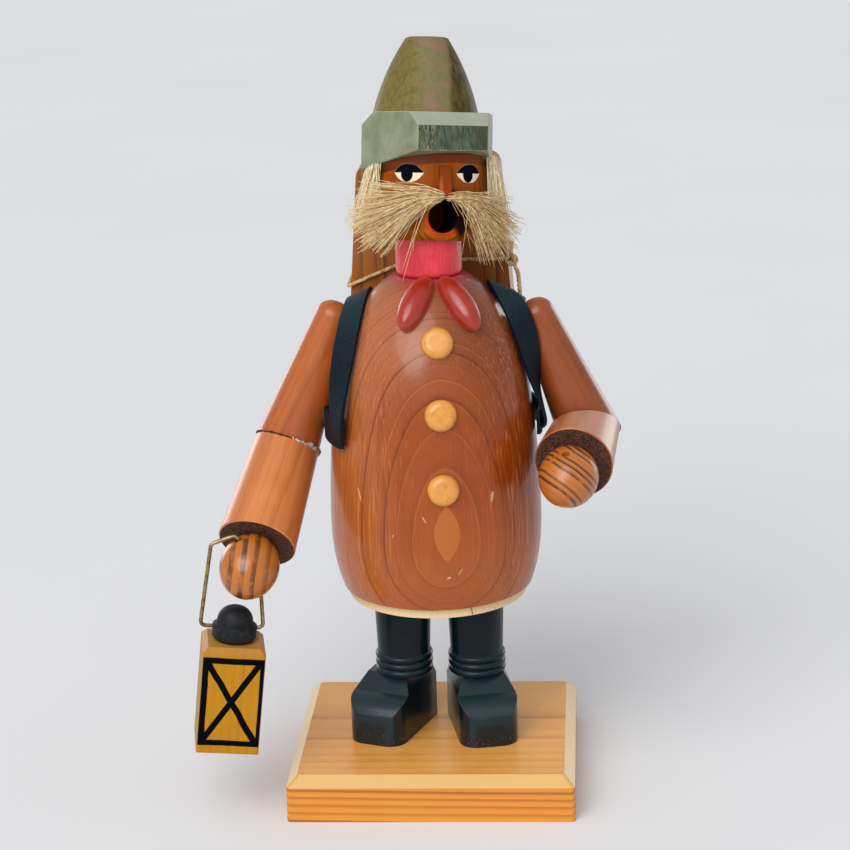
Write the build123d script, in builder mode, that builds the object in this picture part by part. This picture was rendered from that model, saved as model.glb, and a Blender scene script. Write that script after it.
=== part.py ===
import os
from math import cos, radians, sin, sqrt

from build123d import *

os.makedirs("parts", exist_ok=True)

# Frame: millimetres, Z up, the figure's turning axis is the Z axis and the floor is z = 0.
# The figure looks along -Y. Left and right are the viewer's, facing the figure.

# Fits, each used wherever that kind of joint occurs
glue_gap = 0.05
lift_gap = 0.25
pivot_gap = 0.08
lay_gap = 0.2
mitre_gap = 0.3
end_gap = 0.3
cut_over = 1.0

# Base board
base_width = 110.0
base_depth = 100.0
base_thick = 18.0
base_bevel = 4.0
base_corner = 1.5
base_shift = -2.3

# Boots, legs and the dowels between them
leg_spread = 14.3
boot_width = 23.0
boot_offsets = (-4.9, 1.55)
boot_toes_out = (20.0, 12.0)
boot_back = 15.5
boot_front = 21.5
boot_height = 24.5
boot_ankle = 11.0
boot_ridge = 9.5
boot_ridge_height = 18.5
boot_toe_height = 8.5
boot_toe_bulge = 1.7
boot_toe_round = 7.0
boot_shoulder = 6.0
boot_shoulder_in = 3.3
boot_instep = 5.0
boot_vamp_rise = 1.0
boot_dowel_radius = 2.5
boot_dowel_length = 16.0
boot_dowel_reach = 9.0
leg_top_radius = 11.2
leg_ankle_radius = 10.3
leg_bead_radius = 11.3
leg_bead_count = 3
leg_bead_height = 2.9
leg_tenon_radius = 5.0
leg_tenon_length = 9.0

# Seat disc that carries the coat, with the incense dish on it
seat_bottom = 76.8
seat_radius = 34.3
seat_flange = 4.0
spigot_radius = 26.0
spigot_height = 8.0
spigot_lead = 1.0
dish_radius = 12.0
dish_wall = 0.7
dish_height = 3.2
tack_radius = 0.9
tack_head_radius = 2.2
tack_head = 0.9
tack_length = 7.0

# Turned coat: radius and height down the outline, then the hollow inside it
coat_bottom = seat_bottom + seat_flange
coat_top = 202.8
neck_radius = 12.6
coat_outline = (
    (36.6, coat_bottom),
    (39.6, 92.0),
    (40.7, 113.0),
    (37.9, 152.5),
    (32.0, 179.6),
    (23.2, 194.6),
    (neck_radius, coat_top),
)
chamber_radius = 22.0
chamber_top = 163.0
flue_radius = 7.4
flue_start = 181.0
flue_top = 197.5
socket_depth = spigot_height + 1.0
socket_ramp = 3.0

# Wooden buttons down the front
figure_turn = 8.0
button_heights = (182.9, 157.2, 129.2)
button_radius = 6.0
button_thick = 4.0
button_round = 2.9
button_sink = 0.8
button_peg_radius = 2.5
button_peg_length = 6.0

# Head, tipped back, turned a little to one side, with its flue and mouth
head_x = 0.8
head_bottom = 215.5
head_tip = 10.5
head_lean = 2.0
head_turn = 17.0
head_radius = 21.0
head_height = 29.5
head_stock = 40.0
head_round = 5.0
head_tenon_radius = 8.0
head_tenon_length = 21.0
head_tenon_gap = 1.0
head_flue_radius = 5.0
head_flue_top = 14.0
mouth_radius = 5.0
mouth_height = 8.6
lip_radius = 6.6
lip_depth = 1.6
nose_width = 4.2
nose_bottom = 16.8
nose_top = 27.8
nose_reach = 3.4
nose_reach_top = 1.4
nose_sink = 1.0
nose_lift = 0.4

# Scarf: a turned band round the neck and two turned tails
scarf_radius = 12.45
scarf_round = 2.0
tail_radius = 5.4
tail_ends = (
    ((0.7, -12.8, 203.6), (-8.6, -30.2, 188.6)),
    ((5.1, -12.6, 203.6), (19.0, -26.2, 187.2)),
)
tip_flat = 0.6

# Hat: a brim block cut to flats, and the turned crown pegged through it
brim_thick = 17.8
brim_left = 23.6
brim_right = 24.3
brim_back = 22.0
brim_front = 25.0
brim_front_turn = 29.0
brim_notch = 20.0
brim_notch_turn = 48.0
brim_slope = 4.9
brim_drop = 13.0
brim_under_pitch = 11.6
brim_under_roll = 6.5
brim_under_height = -2.1
hat_shift = -2.5
crown_radius = 19.6
crown_top_radius = 7.9
crown_height = 27.4
crown_bulge = 1.3
crown_dome = 0.4
crown_edge = 1.2
crown_peg_radius = 6.0
crown_peg_depth = 9.0

# Fibre moustache and hair
strand_radius = 0.2
strand_pitch = 0.44
strand_start = 0.5
moustache_rows = 10
moustache_layers = 10
moustache_start = 3.0
moustache_base = 13.9
moustache_pad = 2.0
moustache_pad_lap = 0.8
moustache_pad_sink = 1.0
moustache_fan_top = 7.0
moustache_fan_bottom = -46.0
moustache_in = 17.0
moustache_out = 0.0
moustache_lengths = (33.0, 28.0)
hair_columns = 12
hair_layers = 5
hair_span = 40.0
hair_turns = (-88.0, 102.0)
hair_pad = 1.6
hair_stand = 0.9
hair_layer_pitch = 0.66
hair_pad_lap = 0.6
hair_pad_turn = 2.0
hair_length = 21.0
hair_splay_in = 4.0
hair_splay_out = 17.0

# Arms: elbow points and directions, then radii along the arm
shoulder_radius = 6.3
elbow_radius = 12.5
cuff_radius = 14.9
cuff_edge = 0.5
shoulder_round = 5.3
elbow_dowel_radius = 3.5
elbow_dowel_length = 16.0
shoulder_dowel_radius = 3.0
shoulder_dowel_length = 18.0
shoulder_dowel_height = 178.0
hand_radius = 11.2
hand_half_length = 13.0
hand_reach = 10.5
hand_peg_radius = 4.0
hand_peg_length = 10.0
staff_hole_radius = 1.5
staff_hole_forward = 2.5
bail_hole_radius = 1.6
lantern_elbow_out = 57.0
lantern_elbow_back = 4.0
lantern_elbow_drop = 42.7
lantern_elbow = Vector(
    -lantern_elbow_out,
    lantern_elbow_back,
    shoulder_dowel_height - lantern_elbow_drop,
)
lantern_upper = Vector(-0.364, 0.0, -0.931).normalized()
lantern_upper_length = 59.4
lantern_upper_radius = 12.5
lantern_fore = Vector(-0.185, -0.785, -0.592).normalized()
lantern_fore_length = 47.8
staff_elbow_out = 58.7
staff_elbow_back = 6.0
staff_elbow_drop = 38.6
staff_elbow = Vector(
    staff_elbow_out,
    staff_elbow_back,
    shoulder_dowel_height - staff_elbow_drop,
)
staff_upper = Vector(0.375, 0.04, -0.926).normalized()
staff_upper_length = 55.2
staff_upper_radius = 11.8
staff_fore = Vector(-0.178, -0.963, -0.2).normalized()
staff_fore_length = 28.5

# Pack of boards on the back
pack_x = -1.8
pack_face = 33.0
pack_depth = 28.0
pack_bottom = 140.0
pack_top = 238.0
pack_half_low = 35.0
pack_half_high = 27.4
pack_side_thick = 11.0
pack_panel = 6.0
pack_round = 5.0
pack_panel_drop = 3.0
pack_dowel_radius = 2.5
pack_dowel_length = 13.0
pack_dowel_heights = (150.0, 170.0)

# Leather straps
strap_width = 9.5
strap_thick = 1.4
strap_low = 141.0
strap_low_radius = 40.4
strap_front_turns = (33.4, 7.0)
strap_relief = 0.5
strap_lap = 3.0
strap_lap_turn = 4.0
# Strap routes: places, directions and how the width lies, with x counted outwards from the middle
strap_routes = {
    "left_strap": (
        ((26.8, pack_face, 185.2), (0, -1, 0), (1, 0, 0)),
        ((26.9, 15.0, 190.4), (0, -1, 0.28), (0.97, 0, -0.26)),
        ((27.3, 1.5, 194.0), (0, -1, -0.02), (0.91, 0, -0.42)),
        ((29.0, -12.5, 188.6), (0.14, -0.72, -0.68), (0.88, 0.3, -0.3)),
        ((32.0, -20.0, 174.0), (0.2, -0.38, -0.9), (0.82, 0.55, 0)),
        ((34.4, -22.8, 158.5), (0.1, -0.1, -1), (0.62, 0.78, 0)),
    ),
    "right_strap": (
        ((26.8, pack_face, 185.2), (0, -1, 0), (1, 0, 0)),
        ((27.0, 15.0, 191.6), (0, -1, 0.28), (0.97, 0, -0.22)),
        ((28.0, 0.5, 195.4), (0.1, -1, -0.2), (0.95, 0.05, -0.3)),
        ((35.0, -7.0, 184.0), (0.42, -0.32, -0.85), (0.84, 0.5, 0.1)),
        ((37.4, -7.5, 174.5), (0.15, 0, -1), (0.7, 0.71, 0)),
        ((39.4, -5.6, 162.0), (0.12, 0.04, -1), (0.25, 0.97, 0)),
    ),
}

# Twine lashed round the pack
twine_radius = 0.95
twine_high = 200.5
twine_low = 190.5
twine_turn_x = -10.0
knot_radius = 2.9
knot_out = 0.5
knot_ahead = 1.5
twine_tail = Vector(3.2, -2.2, -15.0)

# Lantern and its wire bail
bail_radius = 0.75
bail_yaw = 10.0
bail_pivot_across = -6.8
bail_pivot_drop = 23.5
bail_stub = 4.0
bail_flare_left = 1.6
bail_flare_right = -0.6
bail_corner = 1.9
bail_hole_lean = 18.0
bail_bottom_drop = 0.9
bail_bend = 3.0
bail_top_rise = 2.2
bail_knee_across = -13.9
bail_knee_height = 9.9
lantern_lean = 7.0
lantern_width = 23.6
lantern_height = 41.8
lantern_drop = 4.9
lantern_edge = 0.8
lantern_brow = 2.0
cap_flange_radius = 8.4
cap_flange = 6.4
cap_dome_radius = 6.8
cap_height = 13.2
cap_peg_radius = 3.0
cap_peg_length = 8.0
cap_foot = 1.5
cap_step = 0.6
cap_flat = 1.0
ear_end_gap = 1.3

# Base board, bevelled round its top edge
with BuildPart() as base_board:
    with BuildSketch():
        with Locations((base_shift, 0)):
            RectangleRounded(base_width, base_depth, base_corner)
    extrude(amount=base_thick - base_bevel)
    for rise, inset in ((base_thick - base_bevel, 0.0), (base_thick, base_bevel)):
        with BuildSketch(Plane.XY.offset(rise)):
            with Locations((base_shift, 0)):
                RectangleRounded(base_width - 2 * inset, base_depth - 2 * inset, base_corner)
    loft(ruled=True)

# Boots: a side profile cut to a toe ridge, sloped shoulders and a rounded toe
toe_middle = (boot_toe_height + boot_ridge_height) / 2
boots = {}
boot_dowel_spots = []
for side, name, toe_out, middle in (
    (-1, "left_boot", boot_toes_out[0], boot_offsets[0]),
    (1, "right_boot", boot_toes_out[1], boot_offsets[1]),
):
    ground = Plane(
        origin=(side * leg_spread, 0, base_thick),
        x_dir=(cos(radians(side * toe_out)), sin(radians(side * toe_out)), 0),
        z_dir=(0, 0, 1),
    )
    flank = Plane(origin=ground.origin, x_dir=-ground.y_dir, z_dir=-ground.x_dir)
    toe_face = Plane(origin=ground.origin, x_dir=ground.x_dir, z_dir=-ground.y_dir)
    with BuildPart() as boot:
        with BuildSketch(flank.offset(-middle)):
            with BuildLine():
                Polyline((-boot_back, 0), (boot_front, 0), (boot_front, boot_toe_height))
                ThreePointArc(
                    (boot_front, boot_toe_height),
                    (boot_front - boot_ridge / 2 + boot_toe_bulge, toe_middle + boot_toe_bulge),
                    (boot_front - boot_ridge, boot_ridge_height),
                )
                Polyline(
                    (boot_front - boot_ridge, boot_ridge_height),
                    (boot_ankle, boot_ridge_height + boot_vamp_rise),
                    (boot_ankle - boot_instep, boot_height),
                    (-boot_back, boot_height),
                    (-boot_back, 0),
                )
            make_face()
        extrude(amount=boot_width / 2, both=True)
        with BuildSketch(ground) as sole:
            with Locations((middle, (boot_back - boot_front) / 2)):
                Rectangle(boot_width, boot_front + boot_back)
            fillet(sole.vertices().sort_by(Axis.Y)[:2], radius=boot_toe_round)
        extrude(amount=boot_height, mode=Mode.INTERSECT)
        for edge_side in (-1, 1):
            with BuildSketch(toe_face):
                with Locations((middle + edge_side * boot_width / 2, boot_height)):
                    Polygon(
                        (edge_side * cut_over, cut_over),
                        (-edge_side * boot_shoulder_in, cut_over),
                        (-edge_side * boot_shoulder_in, 0.0),
                        (0.0, -boot_shoulder),
                        (edge_side * cut_over, -boot_shoulder),
                        align=None,
                    )
            extrude(amount=boot_front * 2, both=True, mode=Mode.SUBTRACT)
        with BuildSketch(ground.offset(boot_height - leg_tenon_length)):
            Circle(leg_tenon_radius + glue_gap)
        extrude(amount=leg_tenon_length, mode=Mode.SUBTRACT)
        with BuildSketch(ground):
            with Locations((middle, boot_dowel_reach), (middle, -boot_dowel_reach)):
                Circle(boot_dowel_radius + glue_gap)
        extrude(amount=boot_dowel_length / 2, mode=Mode.SUBTRACT)
    boots[name] = boot
    for along in (boot_dowel_reach, -boot_dowel_reach):
        boot_dowel_spots.append(ground.from_local_coords((middle, along, 0)))

with BuildPart() as boot_dowels:
    with Locations(*boot_dowel_spots):
        Cylinder(boot_dowel_radius, boot_dowel_length)

with BuildPart(mode=Mode.PRIVATE) as dowel_holes:
    with Locations(*boot_dowel_spots):
        Cylinder(boot_dowel_radius + glue_gap, boot_dowel_length)

with base_board:
    add(dowel_holes.part, mode=Mode.SUBTRACT)

# Legs: turned, with three beads at the ankle and a tenon at each end
leg_bottom = base_thick + boot_height
leg_tenon_reach = leg_tenon_length - end_gap
legs = {}
for side, name in ((-1, "left_leg"), (1, "right_leg")):
    leg_lathe = Plane(origin=(side * leg_spread, 0, 0), x_dir=(1, 0, 0), z_dir=(0, -1, 0))
    with BuildPart() as leg:
        with BuildSketch(leg_lathe):
            with BuildLine():
                Polyline(
                    (0, leg_bottom - leg_tenon_reach),
                    (leg_tenon_radius, leg_bottom - leg_tenon_reach),
                    (leg_tenon_radius, leg_bottom),
                    (leg_ankle_radius, leg_bottom),
                )
                for index in range(leg_bead_count):
                    low = leg_bottom + leg_bead_height * index
                    ThreePointArc(
                        (leg_ankle_radius, low),
                        (leg_bead_radius, low + leg_bead_height / 2),
                        (leg_ankle_radius, low + leg_bead_height),
                    )
                Polyline(
                    (leg_ankle_radius, leg_bottom + leg_bead_height * leg_bead_count),
                    (leg_top_radius, seat_bottom),
                    (leg_tenon_radius, seat_bottom),
                    (leg_tenon_radius, seat_bottom + leg_tenon_reach),
                    (0, seat_bottom + leg_tenon_reach),
                    (0, leg_bottom - leg_tenon_reach),
                )
            make_face()
        revolve(axis=Axis(leg_lathe.origin, (0, 0, 1)))
    legs[name] = leg

# Seat disc: flange, spigot, two leg sockets and a tack hole
spigot_top = seat_bottom + seat_flange + spigot_height
with BuildPart() as seat_disc:
    with BuildSketch(Plane.XZ):
        with BuildLine():
            Polyline(
                (0, seat_bottom),
                (seat_radius, seat_bottom),
                (seat_radius, coat_bottom),
                (spigot_radius, coat_bottom),
                (spigot_radius, spigot_top - spigot_lead),
                (spigot_radius - spigot_lead, spigot_top),
                (0, spigot_top),
                close=True,
            )
        make_face()
    revolve(axis=Axis.Z)
    with BuildSketch(Plane.XY.offset(seat_bottom)):
        with Locations((-leg_spread, 0), (leg_spread, 0)):
            Circle(leg_tenon_radius + glue_gap)
    extrude(amount=leg_tenon_length, mode=Mode.SUBTRACT)
    with BuildSketch(Plane.XY.offset(spigot_top)):
        Circle(tack_radius + glue_gap)
    extrude(amount=-tack_length, mode=Mode.SUBTRACT)

# Pressed tin dish for the incense, held by one tack
with BuildPart() as incense_dish:
    with BuildSketch(Plane.XZ):
        with BuildLine():
            Polyline(
                (tack_radius + glue_gap, spigot_top),
                (dish_radius - dish_height, spigot_top),
                (dish_radius, spigot_top + dish_height),
                (dish_radius - dish_wall, spigot_top + dish_height),
                (dish_radius - dish_height - dish_wall * 0.4, spigot_top + dish_wall),
                (tack_radius + glue_gap, spigot_top + dish_wall),
                close=True,
            )
        make_face()
    revolve(axis=Axis.Z)

with BuildPart(Plane.XY.offset(spigot_top + dish_wall)) as dish_tack:
    Cylinder(tack_head_radius, tack_head, align=(Align.CENTER, Align.CENTER, Align.MIN))
    Cylinder(tack_radius, dish_wall + tack_length - end_gap, align=(Align.CENTER, Align.CENTER, Align.MAX))


def outline_radius(height):
    """Coat radius at a height, read off its outline between neighbouring points."""
    for (low_r, low_z), (high_r, high_z) in zip(coat_outline, coat_outline[1:]):
        if low_z <= height <= high_z:
            return low_r + (high_r - low_r) * (height - low_z) / (high_z - low_z)
    return coat_outline[0][0]


# Solid of the coat's outside, used to fit the pieces that lie on it
with BuildPart(mode=Mode.PRIVATE) as coat_outside:
    with BuildSketch(Plane.XZ):
        with BuildLine():
            Spline(*coat_outline)
            Polyline(coat_outline[-1], (0, coat_top), (0, coat_bottom), coat_outline[0])
        make_face()
    revolve(axis=Axis.Z)


def turned(plane, angle):
    """The same plane turned about its own upright."""
    swing = radians(angle)
    across = plane.x_dir * cos(swing) + plane.y_dir * sin(swing)
    return Plane(origin=plane.origin, x_dir=across, z_dir=plane.z_dir)


# Tipped frame of the head: its bottom centre, with the hat square to the same axis
head_axis = Vector(sin(radians(head_lean)), sin(radians(head_tip)), cos(radians(head_tip)))
head_plane = Plane(origin=(head_x, 0, head_bottom), x_dir=(1, 0, 0), z_dir=head_axis)
head_line = Axis(head_plane.origin, head_plane.z_dir)
head_side = Plane(origin=head_plane.origin, x_dir=head_plane.x_dir, z_dir=-head_plane.y_dir)
face = turned(head_plane, head_turn)
hat_centre = head_plane.from_local_coords((hat_shift, 0, head_height))
hat_plane = Plane(origin=hat_centre, x_dir=head_plane.x_dir, z_dir=head_plane.z_dir)
hat_side = Plane(origin=hat_centre, x_dir=head_plane.x_dir, z_dir=-head_plane.y_dir)
under_roll = hat_plane.x_dir * sin(radians(-brim_under_roll))
under_pitch = hat_plane.y_dir * sin(radians(brim_under_pitch))
brim_seat = Plane(
    origin=hat_plane.from_local_coords((0, 0, brim_under_height)),
    z_dir=hat_plane.z_dir + under_roll + under_pitch,
)

# Button seats and shoulder dowel places, shared by the coat and what fits it
button_frames = []
for height in button_heights:
    below, above = (outline_radius(height + step) for step in (-button_radius, button_radius))
    slope = (below - above) / (2 * button_radius)
    turn = radians(figure_turn)
    outward = Vector(sin(turn), -cos(turn), slope).normalized()
    radius = outline_radius(height)
    spot = Vector(radius * sin(turn), -radius * cos(turn), height)
    button_frames.append(Plane(origin=spot - outward * button_sink, z_dir=outward))

shoulder_frames = {}
for name, side, elbow, upper in (
    ("lantern", -1, lantern_elbow, lantern_upper),
    ("staff", 1, staff_elbow, staff_upper),
):
    along = (elbow.Z - shoulder_dowel_height) / -upper.Z
    centre = elbow - upper * along
    wall = sqrt(outline_radius(shoulder_dowel_height) ** 2 - centre.Y**2)
    spot = Vector(side * wall, centre.Y, shoulder_dowel_height)
    shoulder_frames[name] = Plane(origin=spot, z_dir=(side, 0, 0))

# Coat: turned, hollow, open below, with the flue up to the head's socket
with BuildPart() as coat:
    add(coat_outside.part)
    with BuildSketch(Plane.XZ):
        with BuildLine():
            Polyline(
                (0, coat_bottom - cut_over),
                (spigot_radius + lift_gap, coat_bottom - cut_over),
                (spigot_radius + lift_gap, coat_bottom + socket_depth),
                (chamber_radius, coat_bottom + socket_depth + socket_ramp),
                (chamber_radius, chamber_top),
                (flue_radius, flue_start),
                (flue_radius, flue_top),
                (0, flue_top),
                close=True,
            )
        make_face()
    revolve(axis=Axis.Z, mode=Mode.SUBTRACT)
    with BuildSketch(head_plane):
        Circle(head_tenon_radius + glue_gap)
    extrude(amount=-head_tenon_length, mode=Mode.SUBTRACT)
    with BuildSketch(Plane.XY.offset(pack_bottom)):
        with Locations((0, pack_face)):
            Rectangle(
                4 * pack_half_low,
                2 * pack_depth,
                align=(Align.CENTER, Align.MIN),
            )
    extrude(amount=pack_top - pack_bottom, mode=Mode.SUBTRACT)
    with BuildSketch(*button_frames):
        Circle(button_radius + glue_gap)
    extrude(amount=button_thick, mode=Mode.SUBTRACT)
    with BuildSketch(*button_frames):
        Circle(button_peg_radius + glue_gap)
    extrude(amount=-button_peg_length, mode=Mode.SUBTRACT)
    with BuildSketch(*shoulder_frames.values()):
        Circle(shoulder_dowel_radius + glue_gap)
    extrude(amount=shoulder_dowel_length / 2, both=True, mode=Mode.SUBTRACT)
    with BuildSketch(Plane(origin=(pack_x, pack_face, 0), x_dir=(1, 0, 0), z_dir=(0, -1, 0))):
        with Locations(*[(0, height) for height in pack_dowel_heights]):
            Circle(pack_dowel_radius + glue_gap)
    extrude(amount=pack_dowel_length - pack_panel, mode=Mode.SUBTRACT)

# Buttons: domed discs on pegs
buttons = {}
for name, frame in zip(("top_button", "middle_button", "bottom_button"), button_frames):
    with BuildPart(frame) as button:
        Cylinder(button_radius, button_thick, align=(Align.CENTER, Align.CENTER, Align.MIN))
        crest = button.faces().sort_by(Axis(frame.origin, frame.z_dir))[-1]
        fillet(crest.edges(), radius=button_round)
        Cylinder(
            button_peg_radius,
            button_peg_length - end_gap,
            align=(Align.CENTER, Align.CENTER, Align.MAX),
        )
    buttons[name] = button

# Head: turned, with a hollow tenon, the flue and the round mouth
mouth_plane = Plane(
    origin=face.from_local_coords((0, 0, mouth_height)),
    x_dir=face.x_dir,
    z_dir=-face.y_dir,
)
with BuildPart() as head:
    with BuildSketch(head_side):
        with BuildLine():
            Polyline((0, head_stock), (0, 0), (head_radius - head_round, 0))
            RadiusArc(
                (head_radius - head_round, 0),
                (head_radius, head_round),
                -head_round,
            )
            Polyline((head_radius, head_round), (head_radius, head_stock), (0, head_stock))
        make_face()
    revolve(axis=head_line)
    split(bisect_by=brim_seat, keep=Keep.BOTTOM)
    with BuildSketch(head_plane):
        Circle(head_tenon_radius)
    extrude(amount=-head_tenon_length + head_tenon_gap)
    with BuildSketch(head_plane.offset(-head_tenon_length)):
        Circle(head_flue_radius)
    extrude(amount=head_tenon_length + head_flue_top, mode=Mode.SUBTRACT)
    with BuildSketch(mouth_plane):
        Circle(mouth_radius)
    extrude(amount=2 * head_radius, mode=Mode.SUBTRACT)
    with Locations(mouth_plane.offset(head_radius - lip_depth).location):
        Cone(
            mouth_radius,
            mouth_radius + 2 * (lip_radius - mouth_radius),
            2 * lip_depth,
            align=(Align.CENTER, Align.CENTER, Align.MIN),
            mode=Mode.SUBTRACT,
        )
    with BuildSketch(hat_plane):
        Circle(crown_peg_radius + glue_gap)
    extrude(amount=-crown_peg_depth, mode=Mode.SUBTRACT)

# Nose: a small wedge with its back hollowed to the head
nose_plane = Plane(origin=face.origin, x_dir=-face.y_dir, z_dir=-face.x_dir)
with BuildPart() as nose:
    with BuildSketch(nose_plane):
        with BuildLine():
            Polyline(
                (head_radius - nose_sink, nose_bottom + nose_lift),
                (head_radius + nose_reach, nose_bottom),
                (head_radius + nose_reach_top, nose_top),
                (head_radius - nose_sink, nose_top),
                close=True,
            )
        make_face()
    extrude(amount=nose_width / 2, both=True)
    add(head.part, mode=Mode.SUBTRACT)

# Scarf band, cut to the tipped underside of the head
with BuildPart(Plane.XY.offset(coat_top)) as scarf_band:
    Cylinder(
        scarf_radius,
        2 * (head_bottom - coat_top),
        align=(Align.CENTER, Align.CENTER, Align.MIN),
    )
    fillet(scarf_band.faces().sort_by(Axis.Z)[0].edges(), radius=scarf_round)
    split(bisect_by=head_plane, keep=Keep.BOTTOM)
    with BuildSketch(head_plane):
        Circle(head_tenon_radius + glue_gap)
    extrude(amount=-head_tenon_length, mode=Mode.SUBTRACT)


def oval_outline(radius, half_length):
    """Turning outline of an oval from tip to tip, with a tiny flat at each end."""
    steps = 8
    outline = []
    for step in range(steps + 1):
        swing = radians(180.0 * step / steps - 90.0)
        outline.append((max(tip_flat, radius * cos(swing)), half_length * sin(swing)))
    return outline


# Scarf tails: turned ovals hollowed to the coat and the band
tails = {}
for name, (root, tip) in zip(("left_scarf_tail", "right_scarf_tail"), tail_ends):
    run = Vector(*tip) - Vector(*root)
    tail_length = run.length
    oval = Plane(origin=(Vector(*tip) + Vector(*root)) * 0.5, z_dir=run)
    lathe = Plane(origin=oval.origin, x_dir=oval.x_dir, z_dir=-oval.y_dir)
    with BuildPart() as tail:
        with BuildSketch(lathe):
            with BuildLine():
                Spline(*oval_outline(tail_radius, tail_length / 2))
                Polyline(
                    (tip_flat, tail_length / 2),
                    (0, tail_length / 2),
                    (0, -tail_length / 2),
                    (tip_flat, -tail_length / 2),
                )
            make_face()
        revolve(axis=Axis(oval.origin, oval.z_dir))
        add(coat_outside.part, mode=Mode.SUBTRACT)
        add(scarf_band.part, mode=Mode.SUBTRACT)
    tails[name] = tail

# Hat brim: a block with its top edges sloped but for the right one, its front corner cut to a flat
front_turn = radians(brim_front_turn)


def on_front(across):
    """Depth of the brim's front flat at a place across the hat."""
    return (across * sin(front_turn) - brim_front) / cos(front_turn)


with BuildPart() as hat_brim:
    with BuildSketch(hat_plane.offset(-brim_drop)):
        Polygon(
            (-brim_left, brim_back),
            (-brim_left, on_front(-brim_left)),
            (brim_right, on_front(brim_right)),
            (brim_right, brim_back),
            align=None,
        )
    extrude(amount=brim_drop + brim_thick)
    upright = Axis(hat_plane.origin, hat_plane.z_dir)
    brim_top = hat_brim.faces().sort_by(upright)[-1]
    rightward = Axis(hat_plane.origin, hat_plane.x_dir)
    chamfer(brim_top.edges().sort_by(rightward)[:-1], length=brim_slope)
    split(bisect_by=brim_seat, keep=Keep.TOP)
    notch_turn = radians(brim_notch_turn)
    notch = hat_plane.x_dir * -sin(notch_turn) - hat_plane.y_dir * cos(notch_turn)
    split(
        bisect_by=Plane(origin=hat_plane.origin + notch * brim_notch, z_dir=notch),
        keep=Keep.BOTTOM,
    )
    with BuildSketch(hat_plane.offset(-brim_drop)):
        Circle(crown_peg_radius + glue_gap)
    extrude(amount=brim_drop + brim_thick, mode=Mode.SUBTRACT)

# Hat crown: turned cone with a peg through the brim into the head
foot = brim_thick
crown_side = Vector(crown_height, crown_radius - crown_top_radius).normalized() * crown_bulge
with BuildPart() as hat_crown:
    with BuildSketch(hat_side):
        with BuildLine():
            Polyline(
                (0, -crown_peg_depth + end_gap),
                (crown_peg_radius, -crown_peg_depth + end_gap),
                (crown_peg_radius, foot),
                (crown_radius, foot),
            )
            ThreePointArc(
                (crown_radius, foot),
                (
                    (crown_radius + crown_top_radius) / 2 + crown_side.X,
                    foot + crown_height / 2 + crown_side.Y,
                ),
                (crown_top_radius, foot + crown_height),
            )
            Polyline(
                (crown_top_radius, foot + crown_height),
                (crown_top_radius - crown_edge, foot + crown_height + crown_dome),
                (0, foot + crown_height + crown_dome),
                (0, -crown_peg_depth + end_gap),
            )
        make_face()
    revolve(axis=upright)

# Moustache: strands fanned from a pad under the nose, laid in layers so that none cross
moustaches = {}
pad_middle = moustache_start + moustache_pad / 2 - moustache_pad_lap
for side, name, reach in (
    (-1, "left_moustache", moustache_lengths[0]),
    (1, "right_moustache", moustache_lengths[1]),
):
    roots = []
    for layer in range(moustache_layers):
        back = radians(moustache_in + (moustache_out - moustache_in) * layer / (moustache_layers - 1))
        depth = head_radius + strand_start + strand_pitch * layer
        for row in range(moustache_rows):
            drop = row / (moustache_rows - 1)
            fan = radians(moustache_fan_top + (moustache_fan_bottom - moustache_fan_top) * drop)
            height = moustache_base + strand_pitch * (moustache_rows - row)
            start = face.from_local_coords((side * moustache_start, -depth, height))
            local = Vector(side * cos(back) * cos(fan), sin(back) * cos(fan), sin(fan))
            run = face.x_dir * local.X + face.y_dir * local.Y + face.z_dir * local.Z
            roots.append(Plane(origin=start, z_dir=run))
    with BuildPart() as moustache:
        with BuildSketch(face.offset(moustache_base)):
            with Locations((side * pad_middle, moustache_pad_sink - head_radius)):
                Rectangle(
                    moustache_pad,
                    moustache_pad_sink + strand_start + strand_pitch * moustache_layers,
                    align=(Align.CENTER, Align.MAX),
                )
        extrude(amount=strand_pitch * (moustache_rows + 1))
        add(head.part, mode=Mode.SUBTRACT)
        with BuildSketch(*roots):
            RegularPolygon(strand_radius, 3)
        extrude(amount=reach)
    moustaches[name] = moustache

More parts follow.
